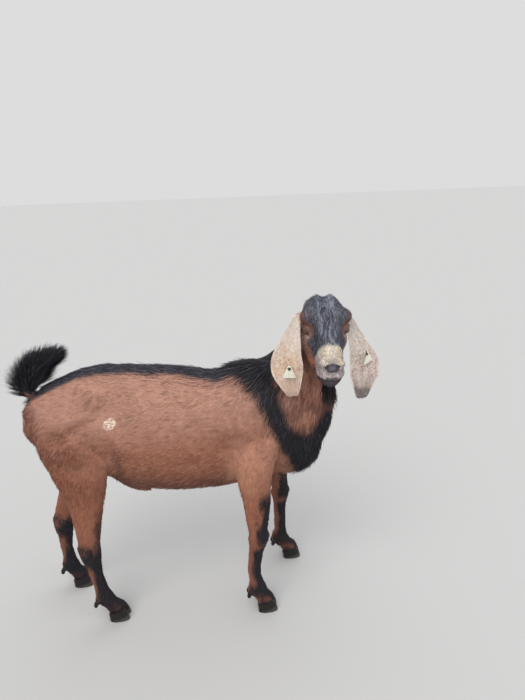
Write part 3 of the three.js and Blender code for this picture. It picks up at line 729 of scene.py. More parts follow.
# %% [markdown]
# ## The right number of faces
# The trunk is nearly flat between its tufts and needs few faces, while the head keeps its own. A decimating
# modifier takes faces away where the skin bends least.

# %% Thinning the mesh
MOST_FACES = 160000
points = to_head(from_model(points_of(skin)))
on_head = fade(-20, 10, points[:, 0]) * (np.abs(points[:, 1]) < 75) * (points[:, 2] > -95)
vertex_group(skin, "body", 1 - 0.9 * on_head)
skin.data.calc_loop_triangles()
ratio = MOST_FACES / len(skin.data.loop_triangles)
if ratio < 1:
    apply_modifier(skin, "DECIMATE", ratio=ratio, vertex_group="body", vertex_group_factor=1.0)
skin.data.calc_loop_triangles()
print("skin:", len(skin.data.vertices), "vertices,", len(skin.data.loop_triangles), "triangles")
select_only(skin)
bpy.ops.object.shade_smooth()

# %% [markdown]
# ## Ears
# A Nubian's ears are long soft leaves that hang beside the face. Each is a form with a very flat section
# whose edges curl up, laid with enough rings to carry a rim and the veins. They are too thin for voxels, so
# they join the skin after the remesh, with their roots sunk in the head.

# %% Ear forms
EAR = [  # outward from the head, toward the nose, down, half width, half thickness
    (-16, -2, -2, 11, 8),
    (4, 2, -2, 12, 6.5),
    (22, 8, 8, 13, 4),
    (33, 16, 40, 20, 2.2),
    (44, 22, 75, 30, 2.2),
    (54, 25, 107, 40, 2.2),
    (57, 26, 133, 44, 2.2),
    (55, 26, 157, 41, 2.2),
    (51, 27, 183, 31, 2.2),
    (48, 29, 207, 21, 2.2),
    (47, 30, 222, 15, 2),
]
EAR_ROOT = (42, 50, 20)
EAR_CUP = 7
EAR_SET = {  # side, turn outward, outward travel for each millimetre down, drop, how far out the root is
    "right": (-1, 8, -0.05, -6, 1),
    "left": (1, 14, 0.05, 8, -8),
}


def ear_form(side, yaw, lean, slip, out_more):
    root = from_head([(EAR_ROOT[0], side * EAR_ROOT[1], EAR_ROOT[2])])[0]
    turn, yaw = math.radians(HEAD_TURN), math.radians(yaw)
    ahead = np.array([math.cos(turn), math.sin(turn), 0])
    outward = np.array([-math.sin(turn), math.cos(turn), 0]) * side
    across = outward * math.cos(yaw) - ahead * math.sin(yaw)
    stations = []
    for i, (out, toward_nose, down, half, thick) in enumerate(EAR):
        at = root + outward * (out + lean * down + out_more) + ahead * toward_nose
        at = at - (0, 0, down + slip * min(down, 60) / 60)
        cup = min(2 * i, EAR_CUP)
        stations.append({"at": at, "left": across * side, "size": (half, thick, thick), "cup": cup})
    return Form(stations, 0.05)


ear_forms = {name: ear_form(*row) for name, row in EAR_SET.items()}
print("ears:", list(ear_forms))


def lay_ear(name, form, phase):
    """The ear with a rim, veins that fan down from the root, and edges that wave a little."""
    ear = lay_ball(name, form, 72, 110, -0.6)
    points = from_model(points_of(ear))
    start = np.linspace(0, 1, 400)
    spine = form.path(start)
    t = start[np.argmin(((points[:, None, 2] - spine[None, :, 2]) ** 2), axis=1)]
    side, up = form.axes(t)[1:]
    local = points - form.path(t)
    half = form.size(t)[:, 0]
    share = np.clip((local * side).sum(1) / np.maximum(half, 1), -1, 1)
    hanging = fade(0.2, 0.4, t) * fade(1.0, 0.9, t)
    wave = 1.6 * np.sin(t * 17 + phase) + 1.1 * np.sin(t * 31 + 2 * phase + share * 2)
    veins = np.zeros(len(t))
    for lane in (-0.55, -0.2, 0.12, 0.45):
        sway = lane + 0.06 * np.sin(t * 14 + lane * 9)
        veins += hill((share - sway) / 0.05)
    front = (local * up).sum(1) > form.section(t)[:, 2] * share**2
    lift = hanging * (wave * np.abs(share) ** 2 + np.where(front, 0.5, 0.2) * veins)
    lift -= hanging * 1.2 * fade(0.25, 0.0, np.abs(share - 0.1)) * (t > 0.3)
    set_points(ear, to_model(points + up * lift[:, None]))
    return ear


ears = [lay_ear("ear_skin_right", ear_forms["right"], 0.6), lay_ear("ear_skin_left", ear_forms["left"], 2.1)]
select_only(skin, *ears)
bpy.ops.object.join()
bpy.ops.object.shade_smooth()
skin.data.calc_loop_triangles()
print("skin with ears:", len(skin.data.loop_triangles), "triangles")

# %% [markdown]
# ## How the coat lies
# Every hair needs to know which way it lies and how long it is. The forms know both: a dense cloud of their
# points is sown, each with the direction of its form's spine, and every point of the skin takes the mean of
# its nearest few. Averaging the directions over the mesh then turns them smoothly from one form to the next.

# %% Sowing the forms
FORMS = {"trunk": trunk_form, "neck": neck_form, "head": head_form, "tail": tail_form}
FORMS.update({"scrotum": scrotum_form, "sheath": sheath_form, **leg_forms})
FORMS.update({f"ear_{name}": form for name, form in ear_forms.items()})
PLACES = list(FORMS)
SWELLS = {"trunk": TRUNK_SWELLS, "neck": NECK_SWELLS, "head": HEAD_SWELLS}


def sow(name, form):
    rings, sides = (90, 64) if name in ("trunk", "neck", "head") or name in leg_forms else (60, 48)
    start = 0.13 if name in leg_forms else 0.01  # the top of a leg is inside the trunk
    t, angle = np.meshgrid(np.linspace(start, 0.99, rings), np.arange(sides) * 2 * math.pi / sides)
    t, angle = t.ravel(), angle.ravel()
    points = swell(form.skin(t, angle), SWELLS.get(name, ()))
    ahead = form.axes(t)[0]
    if name == "head":
        points, ahead = from_head(points), ahead @ HEAD_TURNS.T
    # share of the length, then how far the point faces the form's left and its upper side
    facts = np.column_stack([t, np.cos(angle), np.sin(angle)])
    return points, ahead, facts


sown = [sow(name, form) for name, form in FORMS.items()]
seed_points = np.vstack([points for points, ahead, facts in sown])
seed_ahead = np.vstack([ahead for points, ahead, facts in sown])
seed_facts = np.vstack([facts for points, ahead, facts in sown])
seed_form = np.repeat(np.arange(len(sown)), [len(points) for points, ahead, facts in sown])
tree = kdtree.KDTree(len(seed_points))
for i, point in enumerate(seed_points):
    tree.insert(point, i)
tree.balance()

skin_points = from_model(points_of(skin))
nearest = np.array([tree.find(point)[1] for point in skin_points])
form_of = seed_form[nearest]
ahead_of = seed_ahead[nearest]
facts_of = seed_facts[nearest]
skin_normals = read_rows(skin.data.vertex_normals, "vector", 3)
edges = read_rows(skin.data.edges, "vertices", 2, np.int32)
print("sown points:", len(seed_points), "skin points:", len(skin_points))


def spread(values, rounds, share=0.6):
    """Averages values over neighbouring points of the skin."""
    values = values.reshape(len(skin_points), -1).copy()
    a, b = edges.T
    count = np.bincount(a, minlength=len(values)) + np.bincount(b, minlength=len(values))
    for _ in range(rounds):
        for k in range(values.shape[1]):
            column = values[:, k]
            total = np.bincount(a, column[b], len(column)) + np.bincount(b, column[a], len(column))
            values[:, k] = column + share * (total / np.maximum(count, 1) - column)
    return values


# %% Noise and masks
NOISE_CELLS = 32
table = np.random.default_rng(11).random((NOISE_CELLS, NOISE_CELLS, NOISE_CELLS))


def noise(points, size):
    """Smooth noise from 0 to 1 with lumps of a size in millimetres."""
    place = np.asarray(points) / size + 1000.0
    cell = np.floor(place).astype(int)
    share = place - cell
    share = share * share * (3 - 2 * share)
    total = 0
    for dx in (0, 1):
        for dy in (0, 1):
            for dz in (0, 1):
                corner = np.array((dx, dy, dz))
                i, j, k = (cell + corner).T % NOISE_CELLS
                near_x, near_y, near_z = np.abs(1 - corner - share).T
                total = total + table[i, j, k] * (near_x * near_y * near_z)
    return total


def outline_distance(places, outline):
    """Signed distance to a closed outline in a plane, negative inside."""
    outline = np.asarray(outline, float)
    best = np.full(len(places), 1e9)
    inside = np.zeros(len(places), bool)
    for a, b in zip(outline, np.roll(outline, -1, axis=0)):
        stretch = b - a
        t = np.clip((places - a) @ stretch / (stretch @ stretch), 0, 1)
        best = np.minimum(best, np.linalg.norm(places - a - t[:, None] * stretch, axis=1))
        crosses = (a[1] > places[:, 1]) != (b[1] > places[:, 1])
        with np.errstate(divide="ignore", invalid="ignore"):
            edge = a[0] + (places[:, 1] - a[1]) / (b[1] - a[1]) * (b[0] - a[0])
        inside ^= crosses & (places[:, 0] < edge)
    return np.where(inside, -best, best)


# the black collar as seen from the side: down its rear edge, under the breast, and up its front edge
COLLAR = [
    (120, 840), (164, 764), (199, 744), (217, 725), (241, 689), (261, 653), (279, 612), (295, 572),
    (318, 517), (340, 470), (352, 410), (420, 380), (520, 480), (500, 610), (452, 640), (435, 615),
    (424, 596), (400, 578), (376, 576), (344, 606), (322, 655), (310, 692), (303, 738), (310, 772),
    (335, 850),
]


# %% Directions of lie
DOWN = np.array([0, 0, -1.0])


def form_mask(form, *names):
    return np.isin(form, [PLACES.index(name) for name in names])


def is_form(*names):
    return form_mask(form_of, *names)


def lie_of_coat():
    x, z = skin_points[:, 0], skin_points[:, 2]
    lie = ahead_of.copy()
    trunk = is_form("trunk")
    # back along the trunk, more downward on the sides, most over shoulder and thigh
    sides = np.abs(facts_of[:, 1])
    steep = 0.35 + 0.7 * fade(-180, -320, x) * fade(760, 690, z) + 0.5 * fade(120, 230, x)
    lie[trunk] = (-ahead_of + DOWN * (steep * sides**1.5)[:, None])[trunk]
    rump = trunk * fade(-368, -392, x) * fade(745, 715, z)
    lie = lie + (np.array([-0.1, 0, -1.2]) - lie) * rump[:, None]
    neck = is_form("neck")
    lie[neck] = (-ahead_of * 0.6 + DOWN * 0.7)[neck]
    legs = is_form(*leg_forms)
    lie[legs] = (ahead_of + np.array([-0.18, 0, 0]))[legs]
    head = to_head(skin_points)
    in_head = is_form("head")
    # on the face the hair runs to the nose in the middle, and back and down over the cheeks
    cheek = fade(20, -30, head[:, 2]) * fade(190, 140, head[:, 0])
    face = np.column_stack([1.0 - 1.5 * cheek, 0.012 * head[:, 1], -0.25 - 0.7 * cheek])
    crown = fade(35, 5, head[:, 0])
    face += crown[:, None] * np.column_stack([-1.4 + 0 * cheek, 0.01 * head[:, 1], 0 * cheek])
    lie[in_head] = (face @ HEAD_TURNS.T)[in_head]
    # within the collar it runs down along the band
    band = fade(24, -4, outline_distance(skin_points[:, [0, 2]], COLLAR)) * (trunk + neck) * sides
    lie = unit(lie) + (np.array([0.22, 0, -1.0]) - unit(lie)) * (0.85 * band * fade(790, 750, z))[:, None]
    lie[is_form("scrotum")] = DOWN
    lie[is_form("sheath")] = (0.5, 0, -0.8)
    return lie


lie = spread(unit(lie_of_coat()), 14)
lie = unit(lie - (lie * skin_normals).sum(1, keepdims=True) * skin_normals)
print("lie of the coat set at", len(lie), "points")

# %% [markdown]
# ## Markings
# One function paints skin and coat alike: chestnut, with a black stripe down the back, a black collar from
# the withers to the breast, black knees and cannons, a black face with a cream grizzled muzzle, and pale
# mottled ears. Each mark is a soft mask worked out from where a point lies. A grizzled place holds hairs of
# two colours, so the function gives a second colour and the share of hairs that have it. Some marks are
# painted light and shade: sheen on the upper body and the black hair, a highlight on the nose pad, and shade
# low on the body, in creases and hollows, and under the jaw and tail.

# %% Paint
PATCH_AT, PATCH_HAIR_REACH = (-156, 663), 35


def paint_coat(points, form, facts):
    """Colour, second colour and share of hairs of the second one, for points with their form and facts."""
    x, y, z = points.T
    t, above = facts[:, 0], facts[:, 2]
    rough = noise(points, 22) - 0.5
    fine = noise(points, 7) - 0.5
    large = noise(points, 90) - 0.5
    colour = np.tile(linear("#8d5a45"), (len(points), 1))
    other = colour.copy()
    share = np.zeros(len(points))

    def is_in(*names):
        return form_mask(form, *names) + 0.0

    def put(mask, hexes):
        nonlocal colour
        mask = np.clip(mask, 0, 1)[:, None]
        colour = colour * (1 - mask) + linear(hexes) * mask

    def mix_in(mask, hexes, amount):
        nonlocal other, share
        mask = np.clip(mask, 0, 1)
        other = other * (1 - mask[:, None]) + linear(hexes) * mask[:, None]
        share = share * (1 - mask) + amount * mask

    trunk, neck, tail, head = is_in("trunk"), is_in("neck"), is_in("tail"), is_in("head")
    fore, hind = is_in(*FORE_LEGS), is_in(*HIND_LEGS)

    # chestnut, redder behind; paler and pinkish on the upper side and the shoulder as painted sheen, browner
    # and darker low as painted shade
    put(0.95 * fade(555, 680, z + 30 * rough), "#b08473")
    put(0.8 * fade(640, 560, z) * fade(140, 190, x) * fade(400, 450, z), "#b27e69")
    # painted shade: the low flank and the underside of the belly darker
    put(0.75 * fade(520, 440, z + 20 * rough) * fade(-230, -170, x) * fade(200, 120, x), "#66423a")
    put(trunk * 0.9 * fade(440, 405, z), "#4b312b")
    put(0.85 * fade(-190, -270, x) * fade(690, 610, z + 20 * rough), "#774533")
    put(0.6 * hill((x - 172) / 20, (z - 470) / 42), "#bd9277")  # pale fringe of the elbow
    # painted shade in the crease across the thigh
    crease = np.abs(z - 652 - 0.55 * (x + 262))
    put(0.4 * trunk * hill(crease / 13) * fade(-350, -310, x) * fade(-180, -220, x), "#6d3e31")
    # painted shadow under the swell of the thigh
    put(0.5 * hill((x + 270) / 46, (z - 548) / 16), "#633526")
    put(0.3 * fade(0.1, 0.5, large) + 0.15 * fine, "#b98975")
    put(0.3 * fade(-0.1, -0.5, large), "#7b4c3b")
    grain = noise(points * (0.3, 1, 1), 5.5) - 0.5  # the coat parts into small locks, with painted shade between them
    put(0.4 * fade(0.0, -0.32, grain), "#6e4638")
    put(0.3 * fade(0.05, 0.35, grain) * fade(430, 520, z), "#b98872")
    mix_in(np.ones(len(points)), "#a87966", 0.1)
    groove = fade(600, 550, z) * fade(440, 470, z) * fade(-40, -80, y)  # shade before the thigh
    put(0.55 * trunk * groove * hill((x + 150) / 16), "#51342b")
    patch = np.hypot(x - PATCH_AT[0], z - PATCH_AT[1]) + 4 * fine
    in_patch = fade(17, 13, patch) * (y < -40)
    put(in_patch, "#efe2d2")
    mix_in(in_patch, "#e2cdb8", 0.1)

    # neck: red-brown, in paler and darker locks that hang down
    locks = noise(points * (1, 1, 0.16), 9) - 0.5
    put(neck, "#b07a67")
    put(neck * fade(0.05, 0.4, locks), "#c08d7a")
    put(neck * fade(0.0, -0.35, locks), "#7d5142")
    mix_in(neck, "#6d4639", 0.16)
    put(0.5 * neck * fade(-0.45, -0.85, above + 0.2 * rough), "#7d5242")
    put(0.6 * neck * fade(705, 640, z + 20 * rough), "#56382f")
    # painted shadow under the jaw
    put(0.85 * neck * fade(0.5, 0.72, t) * fade(0.6, 0.2, above), "#56382f")

    # stripe along the back and up the crest of the neck, then collar and breast
    broad = noise(points, 34) - 0.5
    wide = 37 + 10 * broad + 8 * fade(40, 150, x)
    stripe = fade(wide + 7, wide - 7, np.abs(y) + 5 * fine) * fade(650, 700, z) * fade(300, 260, x)
    stripe = stripe * (x > -372) * (trunk + neck)
    crest = neck * fade(0.30, 0.52, above + 0.12 * broad + 0.05 * fine) * fade(0.97, 0.85, t)
    stripe = np.maximum(stripe, crest)
    put(stripe, "#26252d")
    # the paler grey hairs in the black stripe are painted sheen
    mix_in(stripe, "#4c4955", 0.2)
    edge = outline_distance(np.column_stack([x, z]), COLLAR) + 9 * broad + 4 * rough + 6 * fine
    collar = fade(6, -7, edge) * (trunk + neck)
    put(collar, "#16151b")
    # the paler grey hairs in the black collar are painted sheen
    mix_in(collar, "#34313c", 0.16)

    # tail: black, and the bare skin under its root; on the rump beneath it dark hair deepened by painted
    # shade
    put(tail, "#14131a")
    mix_in(tail, "#3b3a46", 0.15)
    put(0.8 * tail * fade(-0.75, -0.95, above) * fade(0.3, 0.24, t), "#3a2825")
    # painted shade on the rump beneath the tail, over its dark hair
    rear = hill(y / 34) * fade(-350, -375, x) * fade(640, 700, z)
    put(0.75 * rear * trunk, "#5c3b36")
    dark_root = hill(((x + 386) / 30) ** 2 + ((z - 708) / 26) ** 2)
    put(0.85 * trunk * dark_root, "#64413b")
    mix_in(trunk * fade(-378, -392, x) * fade(700, 688, z) * fade(645, 665, z), "#b99c87", 0.12)
    put(0.75 * trunk * fade(-330, -372, x) * fade(560, 620, z) * fade(730, 690, z), "#6b4234")

    paint_legs(points, facts, (fore, hind), (broad, rough, fine), put, mix_in)
    paint_face(points, head, put, mix_in)
    for side_name in EAR_SET:
        paint_ear(points, facts, side_name, is_in(f"ear_{side_name}"), rough, put, mix_in)
    return colour, other, share


# %% The legs' and ears' markings
def paint_legs(points, facts, masks, lumps, put, mix_in):
    """Black down the front of the forearm and all round below knee and hock, brown behind."""
    y, z = points[:, 1], points[:, 2]
    left, above = facts[:, 1], facts[:, 2]
    fore, hind = masks
    broad, rough, fine = lumps
    front = above + 0.35 * broad + 0.25 * rough + 0.2 * fine
    legs = fore + hind
    put(legs * fade(500, 400, z) * 0.9, "#945e48")
    put(legs * fade(330, 250, z) * 0.85, "#7a4c3c")
    put(0.5 * fore * fade(400, 450, z) * fade(0.4, -0.3, above), "#b07d62")
    black = fore * fade(0.05, 0.3, front + 0.5 * fade(345, 270, z)) * fade(430, 400, z + 20 * rough)
    black = np.maximum(black, fore * fade(238, 226, z + 10 * rough) * fade(-0.55, -0.3, front))
    gap = hill((z - 246) / 8) * fade(0.95, 0.6, above)  # a brown band under the knee
    black = black * (1 - 0.8 * gap * fore)
    hock = fade(288, 262, z + 20 * rough)
    ring = fade(0.95, 0.45, np.abs((z + 12 * rough - 230 - 14 * above) / 40)) * fade(-1.0, -0.7, front)
    shin = hock * fade(-0.15, 0.1, front + 0.45 * fade(195, 120, z))
    shank = fade(0.4, 0.65, front) * fade(250, 280, z) * fade(430, 350, z) * 0.8
    black = np.maximum(black, hind * np.maximum(np.maximum(ring, shin), shank))
    black = np.maximum(black, legs * fade(116, 98, z) * fade(-0.95, -0.7, front))
    point = hill((z - 268) / 16) * fade(-0.3, -0.7, above)
    black = np.maximum(black, 0.9 * hind * point)
    put(black, "#131117")
    mix_in(legs, "#9a6a54", 0.1)
    mix_in(black, "#332e35", 0.16)
    pastern = (0.7 - 0.5 * hind) * legs * fade(64, 52, z) * fade(38, 46, z)
    put(pastern * fade(0.9, 0.5, np.abs(above)), "#7c4a3a")
    put((0.7 - 0.45 * hind) * legs * fade(66, 50, z) * fade(-0.55, -0.85, front), "#8a6252")
    inner = legs * fade(0.2, 0.9, -left * np.sign(y)) * fade(520, 380, z)
    put(0.4 * inner * (1 - black), "#5e3a30")


EAR_TINTS = {  # upper part, middle, its mottles, lower part, tip, and where the tip starts; the left ear's dark grey tip is painted shade where its end turns over
    "right": ("#d3c8bd", "#cfa98b", "#a87452", "#b69481", "#a98c7b", 0.9),
    "left": ("#bdb3ac", "#b6a097", "#6a5149", "#857069", "#564d50", 0.81),
}


def paint_ear(points, facts, side_name, ear, rough, put, mix_in):
    """Whitish above, tan and finely mottled in the middle, pinkish or grey below."""
    t, left, above = facts.T
    pale, tan, mottle, low, tip, tip_from = EAR_TINTS[side_name]
    put(ear, pale)
    fan = np.column_stack([left * 30, 0 * t, t * 14])  # streaks fan down from the root
    streaks = noise(fan + 50, 1.3) - 0.5
    specks = 0.45 * (noise(points, 3.6) - 0.5) + 0.75 * (noise(points, 1.9) - 0.5) + 0.35 * streaks
    middle = hill((t - 0.60) / 0.2)
    put(ear * 0.8 * middle, tan)
    put(ear * 0.55 * fade(0.0, 0.3, streaks) * fade(0.2, 0.4, t), tan)
    put(ear * 0.8 * middle * fade(0.1, 0.27, specks) * fade(1.0, 0.75, np.abs(left)), mottle)
    put(ear * 0.6 * fade(-0.04, -0.22, specks) * fade(0.12, 0.3, t), "#e9e0d6")
    put(ear * 0.8 * fade(0.68, 0.84, t + 0.06 * rough + 0.12 * streaks), low)
    # the tip; on the left ear it is painted shade where the end turns over
    put(ear * fade(tip_from, tip_from + 0.04, t + 0.03 * rough - 0.02 * left), tip)
    put(ear * 0.9 * fade(0.2, 0.11, t + 0.06 * rough), "#a86c4c")
    rim = fade(0.88, 0.97, np.abs(left)) * fade(0.3, 0.4, t) * fade(0.9, 0.85, t)
    put(ear * 0.6 * rim, "#ece2d6")
    put(ear * 0.45 * (above < -0.05) * fade(0.3, 0.4, t), "#b0917f")
    mix_in(ear, "#efe6dc", 0.1)


# %% The face's markings
NOSE_PAD_TOP, NOSE_PAD_LOW, NOSE_PAD_HALF = 13, -12, 22
STRAND_SWAY, STRAND_WAVE = 2.6, 10.5  # the waves of the forehead's hair: how far aside and how long


def pad_half_width(hy, hz):
    """The nose pad is widest at the nostrils, rounded below, and its upper edge is an arch."""
    high = (hz + 0.012 * hy**2 - NOSE_PAD_LOW) / (NOSE_PAD_TOP - NOSE_PAD_LOW)
    return NOSE_PAD_HALF * np.sqrt(np.clip(high, 0, 1)) * fade(1.0, 0.84, high) - 5 * fade(0.9, 1.1, high)


def strand_lane(hx, hy):
    """Forehead hair runs down the nose in waves. Along one hair this number stays the same."""
    return hy + STRAND_SWAY * np.sin(hx / STRAND_WAVE + 0.06 * hy) * fade(34, 8, np.abs(hy))


def paint_face(points, head, put, mix_in):
    """Brown cheeks, black forehead and nose with pale hairs, cream muzzle, dark nose pad, lips and chin."""
    hx, hy, hz = to_head(points).T
    lump = 6 * (noise(points, 11) - 0.5) + 4 * (noise(points, 4) - 0.5)
    tiny = noise(points, 2.6) - 0.5
    wide = np.abs(hy)
    put(head, "#99695a")
    mix_in(head, "#6a4336", 0.18)
    put(0.8 * head * fade(108, 134, hx) * fade(2, -12, hz + lump) * fade(-66, -54, hz), "#ad6d50")
    put(0.8 * head * fade(60, 90, hx) * fade(124, 106, hx) * fade(8, -4, hz), "#967970")
    for side in (-1, 1):
        centre, look, inner, up = eye_axes(side)
        local = np.column_stack([hx, hy, hz]) - centre
        along, high = local @ inner, local @ up
        near = head * (local @ look > -4)
        put(0.7 * near * fade(1.5, 0.6, np.hypot(along / 24, high / 17)), "#7d6560")
        put(0.5 * near * hill((along - 4) / 15, (high - 16) / 6), "#6f4f47")
        put(0.95 * near * hill((along - 2) / 15, (high + 11) / 2.4), "#dccdc6")
        put(0.6 * near * hill((along - 2) / 18, (high + 19) / 7), "#a18a86")
        put(0.55 * near * hill((along - 18) / 4, (high + 5) / 4), "#b39d94")
        put(0.95 * near * np.exp(-((np.hypot(along / LID_STRETCH, high) / 9.6) ** 6)), "#1a1214")
    nose_black = fade(-24, -15, hz + lump - 14 * fade(150, 110, hx))
    over_eye = 12 * fade(36, 46, wide) * fade(60, 78, hx) - 16 * fade(74, 44, hx)
    crown = fade(38, 56, hz - over_eye + 0.42 * np.maximum(hx - 80, 0) + 1.6 * lump)
    top = head * np.maximum(crown, fade(112, 126, hx + lump) * nose_black)
    lane = strand_lane(hx, hy) + 5 * (noise(points, 16) - 0.5)
    strand = 0.75 * (noise(np.column_stack([hx * 0.16, lane, hz * 0.1]), 1.7) - 0.5)
    strand = strand + 0.4 * (noise(np.column_stack([hx * 0.1, lane, hz * 0.1]) + 40, 4.5) - 0.5)
    # the black hair's sheen is painted: bluish grey, painted highlights along the strands where lit, painted
    # shade between them, and paler grey hairs
    lit = fade(30, 12, wide) * fade(-4, 14, hx) + 0.45 * fade(36, 60, wide) + 0.35
    put(top, "#454650")
    put(top * fade(0.0, 0.25, strand) * np.clip(lit, 0, 1), "#828594")
    put(0.85 * top * fade(0.0, -0.25, strand), "#1b1b22")
    mix_in(top, "#6f7281", 0.22)
    brow = hill((hx - 74) / 24, (wide - 54) / 12, (hz - 48) / 14)
    put(0.8 * head * brow, "#55413f")
    put(0.6 * head * hill((hx - 84) / 16, (wide - 50) / 10, (hz - 38) / 7), "#74493b")
    put(head * fade(12, -8, hx) * fade(24, 40, hz), "#24222a")

    # cream muzzle: warm in the middle, greyer to the lips, salted with dark hairs, its upper edge ragged
    edge = hx - 173 + 5 * fade(14, 30, wide) + 1.4 * lump + 9 * tiny
    muzzle = fade(-4, 4, edge) * fade(-47, -37, hz + lump)
    put(head * muzzle, "#ddd0bc")
    warm = hill((wide - 16) / 10) * fade(-6, 8, hz) * fade(42, 30, hz)
    put(0.45 * head * muzzle * warm, "#dcc9a2")
    put(head * muzzle * fade(16, -4, hz - 0.3 * (wide - 14) + lump), "#a89a9b")
    put(head * muzzle * fade(-12, -22, hz + lump), "#988b8e")
    put(head * muzzle * 0.5 * fade(0.04, 0.26, tiny), "#857b7c")
    put(head * muzzle * 0.6 * fade(-0.06, -0.3, tiny), "#f3ece3")
    mix_in(head * muzzle, "#7a7072", 0.16)
    # painted shadow in the dip above the nose pad
    put(head * muzzle * 0.65 * hill((hz - 15) / 7, hy / 14) * (hx > 180), "#7d7475")

    # nose pad
    pad = head * fade(4, -3, wide - pad_half_width(hy, hz) + 0.7 * lump) * (hx > 192)
    put(pad, "#4b454e")
    put(pad * 0.75 * fade(7, 13, wide) * fade(-8, 0, hz), "#2b262c")
    # painted highlight in the middle of the wet nose pad
    put(pad * 0.8 * hill(wide / 7, (hz - 1) / 6), "#6f6671")
    put(pad * 0.7 * hill((hz - NOSE_PAD_LOW - 2) / 2.5), "#37313a")
    mix_in(pad, "#46404a", 0.0)  # no hairs of a second colour here
    # painted shade inside the nostril hollows
    hole = nostril_nearness(points)
    put(head * fade(1.5, 0.8, hole), "#1d171b")

    # lips, chin and under the jaw
    lip_line = distance_to_line(np.column_stack([hx, wide, hz]), line_through(MOUTH))[0]
    chin = fade(158, 172, hx + lump) * fade(0, -5, hz - mouth_height(hx) + 0.5 * lump)
    put(head * chin, "#312c33")
    mix_in(head * chin, "#6d646a", 0.25)
    put(head * 0.5 * chin * hill((hz + 44) / 7) * fade(190, 206, hx), "#6a5f65")
    put(head * 0.7 * fade(-92, -125, hz + lump), "#84695a")  # tan ends of the beard
    put(head * 0.55 * hill((lip_line - 6.5) / 2.4) * (hx > 176) * (hz > mouth_height(hx)), "#c9bcbc")
    # painted shade in the groove of the mouth
    put(head * 0.9 * fade(3.0, 1.2, lip_line) * (hx > 172), "#2a2327")


def nostril_nearness(points):
    """Distance to the nearer nostril's line as a share of its width."""
    places = to_head(points)
    places[:, 1] = np.abs(places[:, 1])
    far, share = distance_to_line(places, line_through(NOSTRIL))
    return far / nostril_width(share)


def mouth_height(hx):
    line = line_through(MOUTH)
    return np.interp(hx, line[:, 0], line[:, 2])


coat_colour, other_colour, other_share = paint_coat(skin_points, form_of, facts_of)
painted = coat_colour + (other_colour - coat_colour) * other_share[:, None]
print("markings painted")


def set_colours(item, name, colours):
    layer = item.data.color_attributes.new(name=name, type="FLOAT_COLOR", domain="POINT")
    values = np.column_stack([colours, np.ones(len(colours))]).astype(np.float32)
    layer.data.foreach_set("color", values.ravel())


set_colours(skin, "markings", painted)

# %% [markdown]
# ## Unwrap for the coat's colours
# The skin is unwrapped by its own shape. Each tuft later takes a small patch of that map, at its root.

# %% Unwrap the skin
edit_all(skin, (bpy.ops.uv.smart_project, {"angle_limit": math.radians(70), "island_margin": 0.001}))
skin.data.uv_layers.active.name = "OFBake"
skin.data.calc_loop_triangles()
triangles = read_rows(skin.data.loop_triangles, "vertices", 3, np.int32)
corner_loops = read_rows(skin.data.loop_triangles, "loops", 3, np.int32)
unwrapped = read_rows(skin.data.uv_layers["OFBake"].data, "uv", 2)
corners = skin_points[triangles]
areas = np.linalg.norm(np.cross(corners[:, 1] - corners[:, 0], corners[:, 2] - corners[:, 0]), axis=1) / 2
print("unwrapped:", len(triangles), "triangles, skin area m2:", round(areas.sum() * MM * MM, 3))

# %% [markdown]
# ## Tufts
# A tuft is a thin three-sided spike on a bent line: out of the skin at its root, then over along its lie.
# All tufts of a piece are worked out together as arrays and become one mesh, because a hundred thousand of
# them are too many to model by hand. Roots are drawn at random over the skin with a fixed seed, more of them
# where the coat is finer.

# %% Roots and spikes
UV_PATCH = 0.003  # side of each tuft's place in the unwrapped map
rng = np.random.default_rng(5)


def sow_roots(density):
    """Roots on the skin, evenly spread, with density hairs for each square millimetre of a triangle."""
    wanted = areas * density
    total = np.cumsum(wanted)
    count = int(total[-1])
    picks = (np.arange(count) + rng.random(count)) * total[-1] / count
    face = np.minimum(np.searchsorted(total, picks), len(areas) - 1)
    a, b = rng.random(count), rng.random(count)
    flip = a + b > 1
    a, b = np.where(flip, 1 - a, a), np.where(flip, 1 - b, b)
    shares = np.column_stack([1 - a - b, a, b])

    def between(values):
        return (values[triangles[face]] * shares[:, :, None]).sum(1)

    main = triangles[face, shares.argmax(1)]
    roots = {
        "at": between(skin_points),
        "out": unit(between(skin_normals)),
        "lie": unit(between(lie)),
        "facts": between(facts_of),
        "form": form_of[main],
        "uv": (unwrapped[corner_loops[face]] * shares[:, :, None]).sum(1),
    }
    roots["head"] = to_head(roots["at"])
    return roots


def keep(roots, chosen):
    return {name: values[chosen] for name, values in roots.items()}


def blend(a, b, share):
    return a + (b - a) * share[:, None]


def blend_to(out, way, soft):
    return unit(out * soft + way * (1 - soft))


def tuft_faces(rings, corners):
    """Corner numbers of one tuft's triangles, ordered so that they look outward from its middle."""
    faces = [(0, 2, 1)]
    for ring in range(rings - 1):
        for k in range(3):
            a, b = 3 * ring + k, 3 * ring + (k + 1) % 3
            faces += [(a, b, b + 3), (a, b + 3, a + 3)]
    last = 3 * (rings - 1)
    faces += [(last + k, last + (k + 1) % 3, last + 3) for k in range(3)]
    faces = np.array(faces)
    a, b, c = (corners[faces[:, k]] - corners.mean(0) for k in range(3))
    if np.einsum("ij,ij->", a, np.cross(b, c)) < 0:
        faces = faces[:, ::-1]
    return faces


